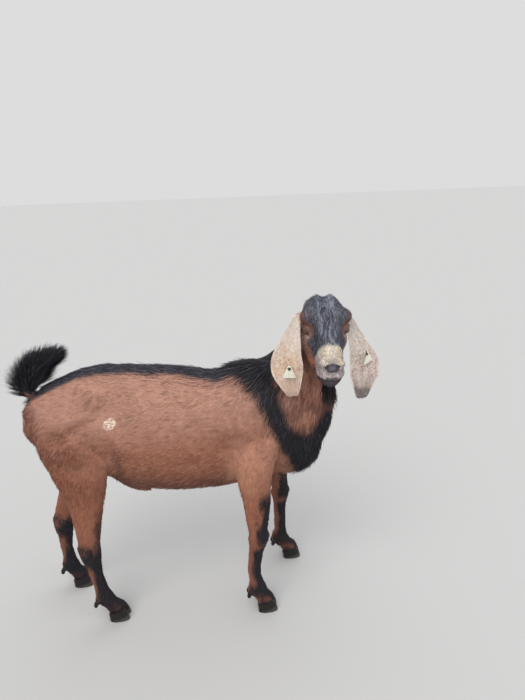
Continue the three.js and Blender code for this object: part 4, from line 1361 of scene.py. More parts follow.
def tuft_colours(roots, way, rings, shade, reaches):
    """A tuft has the coat's colour at its root, and at its end that of the place it reaches to."""
    count = len(roots["at"])
    pick, vary = rng.random(count), rng.normal(1.0, 0.07, (count, 1)).clip(0.7, 1.35)
    ends = []
    for reach in (0.0, reaches):
        colour, other, share = paint_coat(roots["at"] + way * reach, roots["form"], roots["facts"])
        ends.append(np.where((pick < share)[:, None], other, colour) * vary)
    at_ring = np.concatenate([np.full(1 if k == rings else 3, k) for k in range(rings + 1)])
    share = (at_ring / rings)[None, :, None]
    colours = ends[0][:, None, :] * (1 - share) + ends[1][:, None, :] * share
    # painted shade and light: each tuft is darker at its root, down in the coat, and brighter at its end
    shades = shade[0] + (shade[1] - shade[0]) * (at_ring / rings)
    return (colours * shades[None, :, None]).reshape(-1, 3)


def tuft_places_on_map(roots, rings):
    """Each tuft takes a small patch of the unwrapped map at its root."""
    across = np.concatenate([np.array([0.0, 1.0, 0.5])] * rings + [np.array([0.5])])
    up = np.concatenate([np.full(3, k / rings) for k in range(rings)] + [np.array([1.0])])
    spots = np.stack([across - 0.5, up - 0.5], axis=1) * UV_PATCH
    return (roots["uv"][:, None, :] + spots[None]).reshape(-1, 2)


def tuft_mesh(name, points, faces, facing, uvs):
    """One object of all tufts, with its own shading directions and its place on the map."""
    mesh = bpy.data.meshes.new(name)
    mesh.vertices.add(len(points))
    mesh.vertices.foreach_set("co", to_model(points).astype(np.float32).ravel())
    mesh.loops.add(faces.size)
    mesh.loops.foreach_set("vertex_index", faces.ravel().astype(np.int32))
    mesh.polygons.add(len(faces))
    mesh.polygons.foreach_set("loop_start", np.arange(0, faces.size, 3, dtype=np.int32))
    mesh.polygons.foreach_set("use_smooth", np.ones(len(faces), bool))
    mesh.update(calc_edges=True)
    layer = mesh.uv_layers.new(name="OFBake")
    layer.data.foreach_set("uv", uvs[faces.ravel()].astype(np.float32).ravel())
    mesh.normals_split_custom_set_from_vertices(facing.tolist())
    piece = bpy.data.objects.new(name, mesh)
    bpy.context.collection.objects.link(piece)
    return piece


ROOT_DEPTH, ROOT_BACK = 1.0, 0.8  # a tuft starts this far under the skin and behind its root
BEND_AT, SPLAY, WAVES = 0.42, 0.09, 1.3  # where it bends, how far its end strays, and waves along it


def spikes(
    name, roots, length, width, rise, tip, rings=2, sag=0.0, wave=0.0, flat=0.35, stray=0.12, soft=0.72,
    shade=(0.86, 1.07), reaches=0.8,
):
    """One mesh of tufts. rise and tip are how far the bend and the end stand off the skin, as shares of the
    length. sag is how far the end turns down, wave how far it swings from side to side, and stray how far its
    direction differs from its neighbours'. soft is how much of its shading it takes from the skin below, so
    that a sleek coat doesn't glitter. reaches is how far along it the colour of its end is read."""
    count = len(roots["at"])
    length = np.broadcast_to(length, count)[:, None]
    lie = unit(roots["lie"] + rng.normal(0, 1, (count, 3)) * stray)
    out = roots["out"]
    side = unit(np.cross(lie, out))
    fall = unit(blend(lie, np.tile(DOWN, (count, 1)), np.broadcast_to(sag, count)))
    rise = np.broadcast_to(rise, count)[:, None] * length
    tip = np.broadcast_to(tip, count)[:, None] * length
    start = roots["at"] - out * ROOT_DEPTH - lie * ROOT_BACK
    bend = roots["at"] + out * rise + lie * BEND_AT * length
    end = roots["at"] + out * tip + fall * length + side * rng.normal(0, SPLAY, (count, 1)) * length
    width = np.broadcast_to(width, count) * rng.uniform(0.75, 1.25, count)
    wave = np.broadcast_to(wave, count)
    phase = rng.uniform(0, 2 * math.pi, count)
    points, facing = [], []
    for ring in range(rings + 1):
        s = ring / rings
        middle = (1 - s) ** 2 * start + 2 * s * (1 - s) * bend + s * s * end
        swing = wave * length[:, 0] * s * np.sin(2 * math.pi * WAVES * s + phase)
        middle = middle + side * swing[:, None]
        if ring == rings:
            points.append(middle[:, None, :])
            facing.append(out[:, None, :])
            continue
        along = unit(2 * (1 - s) * (bend - start) + 2 * s * (end - bend))
        roof = unit(np.cross(side, along))
        roof = roof * np.sign((roof * out).sum(1, keepdims=True) + 1e-6)
        half = (width * (1 - s) ** 0.4 / 2)[:, None]
        ridge = middle + roof * half * 2 * flat
        points.append(np.stack([middle - side * half, middle + side * half, ridge], axis=1))
        facing.append(np.stack([blend_to(out, way, soft) for way in (-side, side, roof)], axis=1))
    points = np.concatenate(points, axis=1)
    facing = np.concatenate(facing, axis=1).reshape(-1, 3)
    faces = tuft_faces(rings, points[0])
    faces = (faces[None] + (np.arange(count) * points.shape[1])[:, None, None]).reshape(-1, 3)
    piece = tuft_mesh(name, points.reshape(-1, 3), faces, facing, tuft_places_on_map(roots, rings))
    set_colours(piece, "markings", tuft_colours(roots, lie * length, rings, shade, reaches))
    print(f"{name}: {count} tufts, {len(faces)} triangles")
    return piece


MOST_TRIANGLES = 190000
coat = []


def tufts(name, slot, roots, rings=2, **style):
    """Tufts in as many pieces as the limit on triangles asks for, cut along the goat's length."""
    count = len(roots["at"])
    if not count:
        return
    pieces = math.ceil(count * (6 * rings - 2) / MOST_TRIANGLES)
    order = np.argsort(roots["at"][:, 0])
    for number, chosen in enumerate(np.array_split(order, pieces), 1):
        sizes = {k: v[chosen] if isinstance(v, np.ndarray) else v for k, v in style.items()}
        label = name if pieces == 1 else f"{name}_{number}"
        coat.append((spikes(label, keep(roots, chosen), rings=rings, **sizes), slot))


# %% [markdown]
# ## Where the coat is short and where it is long
# Body hair is about 13 mm long and lies flat. It is shortest on the face, ears and lower legs, and longest
# on the back stripe, the neck, the breast, the tail and the chin, which get locks with more bends.

# %% Length, width and density of the short coat
THIN = 0.97


def eye_nearness(head_points):
    """Distance to the middle of the nearer eye's opening, as measured across it, and large behind it."""
    nearest_eye = np.full(len(head_points), 1e3)
    for side in (-1, 1):
        centre, look, inner, up = eye_axes(side)
        local = head_points - centre
        around = np.hypot((local @ inner) / LID_STRETCH, local @ up)
        nearest_eye = np.minimum(nearest_eye, np.where(local @ look > 0, around, 1e3))
    return nearest_eye


def short_coat(points, form, facts):
    """Length and width of a tuft in millimetres and tufts for each square millimetre."""
    x, y, z = points.T
    t, above = facts[:, 0], facts[:, 2]
    length = np.full(len(points), 13.0)
    width = np.full(len(points), 2.2)
    density = np.full(len(points), 1 / 3.95**2)
    under = fade(-0.5, -0.9, above)
    length += 6 * under * form_mask(form, "trunk")
    near_patch = (np.hypot(x - PATCH_AT[0], z - PATCH_AT[1]) < PATCH_HAIR_REACH) & (y < -40)
    length = np.where(near_patch, 6.5, length)
    density = np.where(near_patch, 1 / 2.4**2, density)
    legs = form_mask(form, *leg_forms)
    low = fade(450, 300, z)
    length = np.where(legs, 13 - 5.5 * low, length)
    width = np.where(legs, 2.2 - 0.6 * low, width)
    density = np.where(legs, 1 / (4.35 - 0.6 * low) ** 2, density)
    length = np.where(legs & (above < -0.6) & (z < 110), 8, length)
    length = np.where(legs & (z < 50), 11, length)  # the fringe over the coronet
    length = np.where(form_mask(form, "scrotum"), 9, length)
    length = np.where(form_mask(form, "sheath"), 10, length)
    length = np.where(form_mask(form, "tail"), 24, length)
    neck = form_mask(form, "neck")
    length = np.where(neck, 24, length)
    density = np.where(neck, 1 / 6**2, density)
    head_points = to_head(points)
    hx, hy, hz = head_points.T
    head = form_mask(form, "head")
    front = fade(60, 150, hx)
    face = 7.5 - 2.5 * fade(110, 190, hx) + 5 * fade(40, 0, hx)
    length = np.where(head, face, length)
    width = np.where(head, 1.6 - 0.6 * front, width)
    density = np.where(head, 1 / (2.8 - 0.9 * front) ** 2, density)
    bare = head & (np.abs(hy) < pad_half_width(hy, hz) - 1) & (hx > 192)
    bare |= head & (nostril_nearness(points) < 1.3) & (hx > 195)
    density = np.where(bare, 0, density)
    eye = eye_nearness(head_points)
    close = head & (eye < 14)
    length = np.where(close, 3.0, length)
    width = np.where(close, 0.9, width)
    density = np.where(close, 0.17, density)
    density = np.where(head & (eye < 7.4), 0, density)
    ears = form_mask(form, "ear_right", "ear_left")
    length = np.where(ears, 7.5 - 3.5 * fade(0.1, 0.5, t), length)
    width = np.where(ears, 1.0, width)
    density = np.where(ears, 1 / 3**2, density)
    density = np.where(legs & (z < 24), 0, density)
    return length, width, density * THIN


density_here = short_coat(skin_points, form_of, facts_of)[2]
short_roots = sow_roots(density_here[triangles].mean(1))
lengths, widths = short_coat(short_roots["at"], short_roots["form"], short_roots["facts"])[:2]
lengths = lengths * rng.uniform(0.75, 1.2, len(lengths))
print("short tufts:", len(lengths))
GROUPS = {  # slot, how far the tufts stand off the skin as a share of their length, and forms
    "coat_trunk": ("body_coat", 0.15, ("trunk", "scrotum", "sheath")),
    "coat_neck": ("neck_coat", 0.15, ("neck",)),
    "coat_face": ("face_coat", 0.26, ("head",)),
    "coat_ears": ("ear_skin", 0.2, ("ear_right", "ear_left")),
    "coat_tail": ("tail_hair", 0.15, ("tail",)),
    "coat_forelegs": ("upper_leg_coat", 0.15, tuple(FORE_LEGS)),
    "coat_hindlegs": ("lower_leg_coat", 0.15, tuple(HIND_LEGS)),
}
for name, (slot, stand, places) in GROUPS.items():
    chosen = form_mask(short_roots["form"], *places)
    lift = np.full(chosen.sum(), stand)
    tufts(
        name,
        slot,
        keep(short_roots, chosen),
        length=lengths[chosen],
        width=widths[chosen],
        rise=lift,
        tip=lift * rng.uniform(0.2, 1.3, len(lift)),
        reaches=0.45,
    )

# %% [markdown]
# ## Long hair
# The stripe, neck, collar, breast, tail, forehead, throat and chin have hair from about 10 to 90 mm
# long. Its locks have more rings, so that they can bend, wave and hang.


# %% Stripe, neck and breast
def long_hair(name, slot, mask, each, rings, lay=None, **style):
    """Long tufts where mask is set, one for each square of that many millimetres. lay may turn their lie."""
    roots = sow_roots((mask / each**2)[triangles].mean(1) * THIN)
    if lay:
        roots["lie"] = unit(lay(roots))
    made = {k: (v(roots) if callable(v) else v) for k, v in style.items()}
    made["length"] = made["length"] * rng.uniform(0.7, 1.12, len(roots["at"]))
    tufts(name, slot, roots, rings=rings, **made)


x, y, z = skin_points.T
above = facts_of[:, 2]
head_points = to_head(skin_points)
trunk_mask, neck_mask = form_mask(form_of, "trunk") + 0.0, form_mask(form_of, "neck") + 0.0
stripe_mask = trunk_mask * fade(54, 38, np.abs(y)) * fade(660, 700, z) * fade(-372, -330, x)
long_hair(
    "hair_back_stripe", "body_coat", stripe_mask, 4.0, 3, soft=0.6, rise=0.14, width=2.6,
    length=lambda r: 13 + 17 * fade(-270, -120, r["at"][:, 0]) + 12 * fade(40, 180, r["at"][:, 0]),
    tip=lambda r: 0.05 + 0.12 * fade(60, 180, r["at"][:, 0]),
    sag=lambda r: 0.35 * fade(-120, -230, r["at"][:, 0]),
)
crest_mask = neck_mask * fade(0.3, 0.55, above) * fade(0.99, 0.9, facts_of[:, 0])
mane_mask = stripe_mask * fade(90, 170, x) + crest_mask
long_hair(
    "hair_mane", "neck_coat", np.clip(mane_mask, 0, 1), 4.2, 3, soft=0.55, rise=0.16, width=2.1,
    length=30.0, tip=0.1, stray=0.08, sag=0.1,
)
breast_mask = trunk_mask * (outline_distance(np.column_stack([x, z]), COLLAR) < 6) * fade(740, 700, z)
long_hair(
    "hair_collar", "body_coat", breast_mask, 3.9, 3, soft=0.6, rise=0.13, tip=0.08, sag=0.2, width=2.2,
    length=lambda r: 26 + 6 * fade(560, 460, r["at"][:, 2]),
)


def neck_lie(roots):
    """Neighbouring hairs of the neck lean together, so that they read as hanging locks."""
    sway = noise(roots["at"] * (1, 1, 0.3), 11) - 0.5
    return roots["lie"] + np.column_stack([0.9 * sway, 0.5 * sway, 0 * sway])


long_hair(
    "hair_neck", "neck_coat", neck_mask, 3.6, 3, neck_lie, soft=0.6, rise=0.1, tip=0.03, wave=0.04,
    sag=lambda r: 0.3 * fade(-0.3, 0.3, r["facts"][:, 2]),
    length=lambda r: 36 - 15 * fade(-0.1, -0.7, r["facts"][:, 2]), width=2.1, stray=0.08,
)

# %% Tail
tail_mask = form_mask(form_of, "tail") * fade(0.0, 0.1, facts_of[:, 0])
tail_mask = tail_mask * (1 + 1.2 * fade(-0.1, -0.7, facts_of[:, 2]) * fade(0.75, 0.55, facts_of[:, 0]))


def tail_lie(roots):
    """The tail's hair turns outward from its spine as a fan. Inside its bend it cuts the corner, so that the
    plume is one straight slant from below."""
    t, above = roots["facts"][:, 0], roots["facts"][:, 2]
    fan = 0.35 + 0.5 * np.maximum(0, above)
    lie = roots["lie"] + roots["out"] * fan[:, None]
    inner = fade(0.1, -0.6, above) * fade(0.85, 0.6, t)
    slant = np.array([0.82, 0, 0.52]) + 0.12 * roots["lie"]
    return blend(lie, slant, inner)


def tail_hair_length(roots):
    t, above = roots["facts"][:, 0], roots["facts"][:, 2]
    inner = fade(-0.1, -0.7, above)
    return (60 - 16 * t) * fade(-0.1, 0.25, t) + inner * (22 * fade(0.7, 0.4, t) + 10 * fade(0.3, 0.1, t))


long_hair(
    "hair_tail", "tail_hair", tail_mask, 1.8, 3, tail_lie, soft=0.4, width=1.7, rise=0.08, tip=0.03,
    length=tail_hair_length, wave=0.02,
)

# %% Forehead
hx, hy, hz = head_points.T
head_mask = form_mask(form_of, "head") + 0.0
over_eye = 10 * fade(36, 46, np.abs(hy)) * fade(60, 78, hx)
crown_mask = head_mask * fade(128, 104, hx) * fade(28, 46, hz - over_eye + 0.1 * np.maximum(0, hx - 60))
crown_mask = np.maximum(crown_mask, head_mask * fade(20, 4, hx)) * fade(17, 24, eye_nearness(head_points))


def forehead_lie(roots):
    """Forehead hair is parted in the middle: it waves down to the nose there and falls to the sides."""
    hx, hy = roots["head"][:, 0], roots["head"][:, 1]
    wide = np.abs(hy)
    side = np.sign(hy) * fade(6, 30, wide) * fade(90, 50, hx)
    along_lane = -STRAND_SWAY / STRAND_WAVE * np.cos(hx / STRAND_WAVE + 0.06 * hy) * fade(34, 8, wide)
    back = fade(14, -2, hx)
    ahead = 1.0 - 0.5 * np.abs(side) - 1.9 * back
    fall = np.column_stack([ahead, 0.9 * side + along_lane, -0.25 - 0.55 * np.abs(side)])
    return fall @ HEAD_TURNS.T


def forehead_length(roots):
    """Short in the valley between the domes and over the eyes, longest on the middle of the forehead."""
    hx, hy = roots["head"][:, 0], roots["head"][:, 1]
    valley = hill(hy / 7) * fade(44, 20, hx)
    return (12 + 8 * fade(112, 60, hx)) * (1 - 0.6 * valley) * (1 - 0.6 * fade(30, 48, np.abs(hy)))


long_hair(
    "hair_forehead", "face_coat", crown_mask, 2.3, 4, forehead_lie, soft=0.45, rise=0.13, tip=0.02, wave=0.05,
    length=forehead_length, width=1.5, stray=0.08, shade=(0.85, 1.1), reaches=0.5,
)

# %% Beard, jaw and lashes
chin_mask = head_mask * fade(166, 176, hx) * fade(216, 208, hx) * fade(-54, -62, hz)
chin_mask = chin_mask * fade(14, 8, np.abs(hy))


def beard_lie(roots):
    hang = DOWN + HEAD_TURNS[:, 0] * 0.3
    return hang + roots["head"][:, 1:2] * HEAD_TURNS[:, 1] * 0.008


long_hair(
    "hair_beard", "face_coat", chin_mask, 1.8, 5, beard_lie, soft=0.3, width=1.6, rise=0.1, tip=0.0,
    length=lambda r: 34 + 56 * noise(r["at"], 4), wave=0.05, stray=0.07, reaches=0.9,
)
jaw_mask = head_mask * fade(-48, -62, hz) * fade(170, 150, hx)
long_hair("hair_jaw", "face_coat", jaw_mask, 3.2, 3, length=18.0, width=1.8, rise=0.16, tip=0.1, sag=0.3)


def lash_roots(side, count):
    """Roots along the upper lid's edge, with the lashes' lie outward and down."""
    centre, look, inner, up = eye_axes(side)
    along = np.linspace(-0.9, 0.85, count) * LID_HALF_LENGTH
    high = LID_HALF_HEIGHT * 1.05 * (1 - (along / LID_HALF_LENGTH) ** 2) ** 0.8 + 1.2
    ahead = np.sqrt(LID_RADIUS**2 - along**2 - high**2)
    at = from_head(centre + along[:, None] * inner + high[:, None] * up + ahead[:, None] * look)
    fan = along[:, None] / LID_HALF_LENGTH * inner * 0.4
    lie = unit(look - inner * 0.25 + up * 0.1 + fan) @ HEAD_TURNS.T
    find = np.array([tree.find(point)[1] for point in at])
    near = np.array([np.argmin(((skin_points - point) ** 2).sum(1)) for point in at])
    corner = np.array([np.nonzero((triangles == vertex).any(1))[0][0] for vertex in near])
    return {
        "at": at, "out": np.tile(up @ HEAD_TURNS.T, (count, 1)), "lie": lie, "facts": seed_facts[find],
        "form": seed_form[find], "uv": unwrapped[corner_loops[corner, 0]], "head": to_head(at),
    }


LASHES = 34
for side, name in ((-1, "right"), (1, "left")):
    tufts(
        f"lashes_{name}", "face_coat", lash_roots(side, LASHES), rings=3, length=7.5, width=0.45, rise=0.1,
        tip=-0.12, stray=0.05,
    )
total = sum(len(piece.data.polygons) for piece, slot in coat)
print("coat pieces:", len(coat), "triangles:", total)

# %% [markdown]
# ## Hooves
# A goat stands on two claws of horn on each foot, with two dewclaws above them. Horn grows down from the
# coronet in rings, and the floor wears its lower edge. Each claw is a form like the limbs, ringed while it is
# still whole, then cut by the floor and along the slope of the coronet with the bisect operator. A lathe
# could not give the flat inner wall and the longer toe.

# %% Claws
CLAW_OFFSET, DEWCLAW_OFFSET, SOLE_LENGTH = 13, 11, 60
CORONET_SLOPE = (-0.3, 0, 0.95)
RING_STEP = 4.6
HORN_EDGE = 0.0009  # in metres, as bevels want it
DEWCLAW = [  # place along the body from the fetlock, height, half width, half depth
    (-10, 76, 6, 7),
    (-22, 72, 6.8, 7.8),
    (-28, 63, 6.2, 6.8),
    (-29, 53.5, 4.3, 4.3),
]
FEET = {name: (row[-1], row[-2], row[0], FORE_STANCE) for name, row in FORE_LEGS.items()}
FEET.update({name: (row[-1], row[-2], row[0], HIND_STANCE) for name, row in HIND_LEGS.items()})


def cut(item, point, normal):
    """Takes away what lies on the side that the normal points to, and closes the cut."""
    plane = {"plane_co": to_model([point])[0], "plane_no": normal}
    edit_all(item, (bpy.ops.mesh.bisect, {**plane, "use_fill": True, "clear_outer": True}))


def growth(points, foot):
    """How far the horn at each point has grown down from the sloping coronet."""
    rise = -CORONET_SLOPE[0] / CORONET_SLOPE[2]
    return CORONET_HEIGHT + rise * (points[:, 0] - foot) - points[:, 2]


def grow_horn(item, foot, y):
    """Rings and fine lengthwise ridges."""
    points = from_model(points_of(item))
    grown = growth(points, foot)
    middle = np.array([foot, y, 0.0])
    away = unit((points - middle) * (1, 1, 0))
    around = np.arctan2(away[:, 1], away[:, 0])
    ring = np.sin(2 * math.pi * (grown / RING_STEP + 0.35 * np.sin(2 * around + foot)))
    ridge = np.sin(around * 34 + 0.2 * grown)
    flare = 0.9 * fade(18, 36, grown) - 0.7 * fade(0, -6, grown)
    set_points(item, to_model(points + away * (0.34 * ring + 0.12 * ridge + flare - 0.5)[:, None]))


def keep_growth(item, foot):
    grown = growth(from_model(points_of(item)), foot)
    layer = item.data.attributes.new("growth", "FLOAT", "POINT")
    layer.data.foreach_set("value", (grown * MM).astype(np.float32))


def lay_claw(name, foot, y):
    front, back = SOLE_LENGTH / 2 + 2, SOLE_LENGTH / 2 - 2
    form = Form([
        station(foot - 4, y, 66, 9, 16, 22),
        station(foot - 1, y, 42, 10.5, 21, 25, square=0.3),
        station(foot + 2, y, 22, 11.6, front - 4, back - 1, square=0.3),
        station(foot + 4, y, 2, 11.8, front - 1, back, square=0.3),
        station(foot + 4, y, -20, 11.8, front - 1, back, square=0.3),
    ], 0.05)
    claw = lay_ball(name, form, 96, 80)
    grow_horn(claw, foot, y)
    cut(claw, (foot, y, 0.2), (0, 0, -1))
    cut(claw, (foot, y, CORONET_HEIGHT + 0.8), CORONET_SLOPE)
    sharp = math.radians(50)
    apply_modifier(claw, "BEVEL", width=HORN_EDGE, segments=2, limit_method="ANGLE", angle_limit=sharp)
    keep_growth(claw, foot)
    select_only(claw)
    bpy.ops.object.shade_smooth_by_angle(angle=sharp)
    return claw


def lay_dewclaw(name, fetlock, y):
    form = Form([station(fetlock + ahead, y, z, wide, deep, deep) for ahead, z, wide, deep in DEWCLAW])
    dewclaw = lay_ball(name, form, 40, 30)
    points = from_model(points_of(dewclaw))
    ring = np.sin((points[:, 2] + 0.5 * points[:, 0]) * 2 * math.pi / 3.4)
    middle = np.array([fetlock - 20, y, 68.0])
    set_points(dewclaw, to_model(points + unit(points - middle) * (0.25 * ring)[:, None]))
    keep_growth(dewclaw, fetlock)
    bpy.ops.object.shade_smooth()
    return dewclaw


horns = []
for name, (foot, fetlock, side, stance) in FEET.items():
    for place, step in (("inner", -side), ("outer", side)):
        y = side * stance + step * CLAW_OFFSET
        horns.append((lay_claw(f"hoof_{name}_{place}", foot, y), f"{name}_claw_{place}"))
        y = side * stance + step * DEWCLAW_OFFSET
        horns.append((lay_dewclaw(f"spur_{name}_{place}", fetlock, y), f"{name}_dewclaw_{place}"))
total = sum(len(face.vertices) - 2 for item, node in horns for face in item.data.polygons)
print("hooves and dewclaws:", len(horns), "triangles:", total)

# %% [markdown]
# ## Ear tags
# Each ear has a small moulded tag: a triangle with round corners on a stud through the ear. Its shape is
# right in the solid, so a copy of that is merged, and a bevel rounds its edges as a mould does. The head of
# its pin is the largest nine-sided face that looks to the goat's right. It is marked, so that the plastic can
# be darker there.

# %% Tags
PIN_SIDES = 9
TAG_WELD, TAG_EDGE = 0.00002, 0.0003  # in metres
tags = []
for side_name in ("right", "left"):
    node = f"tag_{side_name}"
    mesh = bpy.data.objects[node].data.copy()
    tag = bpy.data.objects.new(f"ear_tag_{side_name}", mesh)
    bpy.context.collection.objects.link(tag)
    merge = (bpy.ops.mesh.remove_doubles, {"threshold": TAG_WELD})
    edit_all(tag, merge, (bpy.ops.mesh.dissolve_limited, {"angle_limit": math.radians(1)}))
    caps = [face for face in tag.data.polygons if len(face.vertices) == PIN_SIDES and face.normal.y < 0]
    cap = max(caps, key=lambda face: face.area)
    pin_head = np.array(cap.center)
    pin_radius = max((tag.data.vertices[i].co - cap.center).length for i in cap.vertices)
    sharp = math.radians(40)
    apply_modifier(tag, "BEVEL", width=TAG_EDGE, segments=3, limit_method="ANGLE", angle_limit=sharp)
    select_only(tag)
    bpy.ops.object.shade_smooth_by_angle(angle=sharp)
    far = np.array([np.linalg.norm(np.array(face.center) - pin_head) for face in tag.data.polygons])
    layer = tag.data.attributes.new("stud", "FLOAT", "FACE")
    layer.data.foreach_set("value", (far < 1.02 * pin_radius).astype(np.float32))
    tags.append((tag, node))
print("tags:", [tag.name for tag, node in tags])

# %% [markdown]
# ## Eyes
# A goat's eye is amber with a level slit for a pupil, under a clear wet cornea.

# %% Eyeballs
eyes = []
for side, name in ((-1, "right"), (1, "left")):
    centre, look, inner, up = eye_axes(side)
    bpy.ops.mesh.primitive_uv_sphere_add(segments=64, ring_count=48, radius=EYE_RADIUS)
    eye = bpy.context.object
    eye.name = f"eyeball_{name}"
    local = points_of(eye)
    # the cornea bulges a little in front
    ahead = local[:, 2] / EYE_RADIUS
    local = local * (1 + 0.035 * fade(0.7, 0.95, ahead))[:, None]
    level = unit(np.cross(look, HEAD_TURNS.T @ (0, 0, 1.0)))
    upright = np.cross(look, level) * -1
    turned = local[:, :1] * level + local[:, 1:2] * upright + local[:, 2:] * look
    set_points(eye, to_model(from_head(centre + turned)))
    layer = eye.data.attributes.new("gaze", "FLOAT_VECTOR", "POINT")
    layer.data.foreach_set("vector", (local / EYE_RADIUS).astype(np.float32).ravel())
    bpy.ops.object.shade_smooth()
    eyes.append((eye, f"eye_{name}"))
print("eyes:", [eye.name for eye, node in eyes])

# %% [markdown]
# ## Finishes
# Each material starts from what the real surface is. One helper adds a node, its settings and its links.


# %% Node helper
def new_material(name, **settings):
    material = bpy.data.materials.new(name)
    material.use_nodes = True
    nodes = material.node_tree.nodes
    shader = nodes["Principled BSDF"]
    for socket, value in settings.items():
        shader.inputs[socket.replace("_", " ")].default_value = value
    return material, shader


def link(output, socket):
    """Links two sockets of one material."""
    output.id_data.links.new(output, socket)


def add(material, kind, links=(), **settings):
    """Adds a node. Settings whose names are inputs set them, the others set the node's own properties.
    links holds (output, node, input) from the new node."""
    node = material.node_tree.nodes.new(kind)
    for name, value in settings.items():
        if hasattr(node, name):
            setattr(node, name, value)
        else:
            node.inputs[name.replace("_", " ")].default_value = value
    for output, target, socket in links:
        link(node.outputs[output], target.inputs[socket])
    return node


# %% Coat and skin
def marked_material(name, roughness, specular):
    """A dull surface that takes its colour from the markings."""
    material, shader = new_material(name, Roughness=roughness, Specular_IOR_Level=specular)
    add(material, "ShaderNodeAttribute", [("Color", shader, "Base Color")], attribute_name="markings")
    return material


hair = marked_material("goat hair", 0.6, 0.35)
skin_material = marked_material("goat skin under short hair", 0.75, 0.25)
skin.data.materials.clear()
skin.data.materials.append(skin_material)
for piece, slot in coat:
    piece.data.materials.append(hair)
print("hair on", len(coat), "pieces")

# %% Eye
MIX_FROM, MIX_TO, MIX_RESULT = 6, 7, 2  # the colour sockets of a mix node, whose names aren't unique
IRIS = [  # share of the eye's radius and colour
    (0.0, "#7c5222"),
    (0.40, "#643f1a"),
    (0.60, "#43280f"),
    (0.66, "#1c120c"),
    (0.75, "#6b4a38"),
    (1.0, "#8d6a58"),
]
PUPIL_HALF_LENGTH, PUPIL_HALF_HEIGHT = 0.40, 0.15
eye_material, eye_shader = new_material("wet eye", Roughness=0.04, Coat_Weight=1.0, Coat_Roughness=0.02)
gaze = add(eye_material, "ShaderNodeAttribute", attribute_name="gaze")
split = add(eye_material, "ShaderNodeSeparateXYZ")
link(gaze.outputs["Vector"], split.inputs["Vector"])


def maths(material, operation, *inputs):
    node = material.node_tree.nodes.new("ShaderNodeMath")
    node.operation = operation
    for i, value in enumerate(inputs):
        if isinstance(value, (int, float)):
            node.inputs[i].default_value = value
        else:
            link(value, node.inputs[i])
    return node.outputs[0]


def fill_ramp(node, stops):
    """Sets a colour ramp's stops from places and sRGB hex colours."""
    elements = node.color_ramp.elements
    elements[0].position, elements[1].position = stops[0][0], stops[-1][0]
    for place, tint in stops[1:-1]:
        elements.new(place)
    for element, (place, tint) in zip(elements, stops):
        element.color = (*linear(tint), 1)


def power_sum(material, power, *values):
    """The sum of two values without their signs, each raised to a power."""
    sizes = [maths(material, "POWER", maths(material, "ABSOLUTE", value), power) for value in values]
    return maths(material, "ADD", *sizes)


across, high = split.outputs["X"], split.outputs["Y"]
radius = maths(eye_material, "SQRT", power_sum(eye_material, 2.0, across, high))
ramp = add(eye_material, "ShaderNodeValToRGB")
link(radius, ramp.inputs["Fac"])
fill_ramp(ramp, IRIS)
pupil_x = maths(eye_material, "DIVIDE", across, PUPIL_HALF_LENGTH)
pupil_y = maths(eye_material, "DIVIDE", high, PUPIL_HALF_HEIGHT)
pupil = maths(eye_material, "LESS_THAN", power_sum(eye_material, 4.0, pupil_x, pupil_y), 1.0)
mix = add(eye_material, "ShaderNodeMix", data_type="RGBA")
link(pupil, mix.inputs["Factor"])
link(ramp.outputs["Color"], mix.inputs[MIX_FROM])
mix.inputs[MIX_TO].default_value = (0.004, 0.003, 0.003, 1)
link(mix.outputs[MIX_RESULT], eye_shader.inputs["Base Color"])
for eye, node in eyes:
    eye.data.materials.append(eye_material)
print("eye nodes:", len(eye_material.node_tree.nodes))

# %% [markdown]
# ## Horn and tag plastic
# Horn is dark and half dull, in bands as it grew, with fine lengthwise lines, paler where the floor has worn
# it. The growth attribute holds how far down from the coronet a point is. The tags are polyethylene: smooth,
# a little waxy, with faint dust over them.

# %% Horn
horn, horn_shader = new_material("worn hoof horn", Roughness=0.45, Specular_IOR_Level=0.3)
grown = add(horn, "ShaderNodeAttribute", attribute_name="growth").outputs["Fac"]
place = add(horn, "ShaderNodeTexCoord").outputs["Object"]
lines = add(horn, "ShaderNodeMapping", Scale=(1.0, 1.0, 0.12))
link(place, lines.inputs["Vector"])
fibre = add(horn, "ShaderNodeTexNoise", Scale=1 / (1.6 * MM), Detail=3.0)
link(lines.outputs["Vector"], fibre.inputs["Vector"])
blotch = add(horn, "ShaderNodeTexNoise", Scale=1 / (14 * MM), Detail=2.0)
link(place, blotch.inputs["Vector"])
rings = maths(horn, "MULTIPLY", grown, 2 * math.pi / (RING_STEP * MM))
bands = maths(horn, "SINE", maths(horn, "ADD", rings, maths(horn, "MULTIPLY", blotch.outputs["Fac"], 5.0)))
fibres = maths(horn, "MULTIPLY", fibre.outputs["Fac"], 0.5)
blotches = maths(horn, "MULTIPLY", blotch.outputs["Fac"], 0.45)
mixed = maths(horn, "ADD", maths(horn, "MULTIPLY", bands, 0.10), maths(horn, "ADD", fibres, blotches))
horn_ramp = add(horn, "ShaderNodeValToRGB")
link(mixed, horn_ramp.inputs["Fac"])
fill_ramp(horn_ramp, [(0.2, "#0d0b0c"), (0.45, "#181416"), (0.65, "#251e1e"), (0.9, "#3a302d")])
worn = add(horn, "ShaderNodeMapRange", From_Min=26 * MM, From_Max=38 * MM)
ragged = maths(horn, "ADD", grown, maths(horn, "MULTIPLY", fibre.outputs["Fac"], 8 * MM))
link(ragged, worn.inputs["Value"])
horn_mix = add(horn, "ShaderNodeMix", data_type="RGBA")
link(maths(horn, "MULTIPLY", worn.outputs["Result"], 0.55), horn_mix.inputs["Factor"])
link(horn_ramp.outputs["Color"], horn_mix.inputs[MIX_FROM])
horn_mix.inputs[MIX_TO].default_value = (*linear("#57504b"), 1)
link(horn_mix.outputs[MIX_RESULT], horn_shader.inputs["Base Color"])
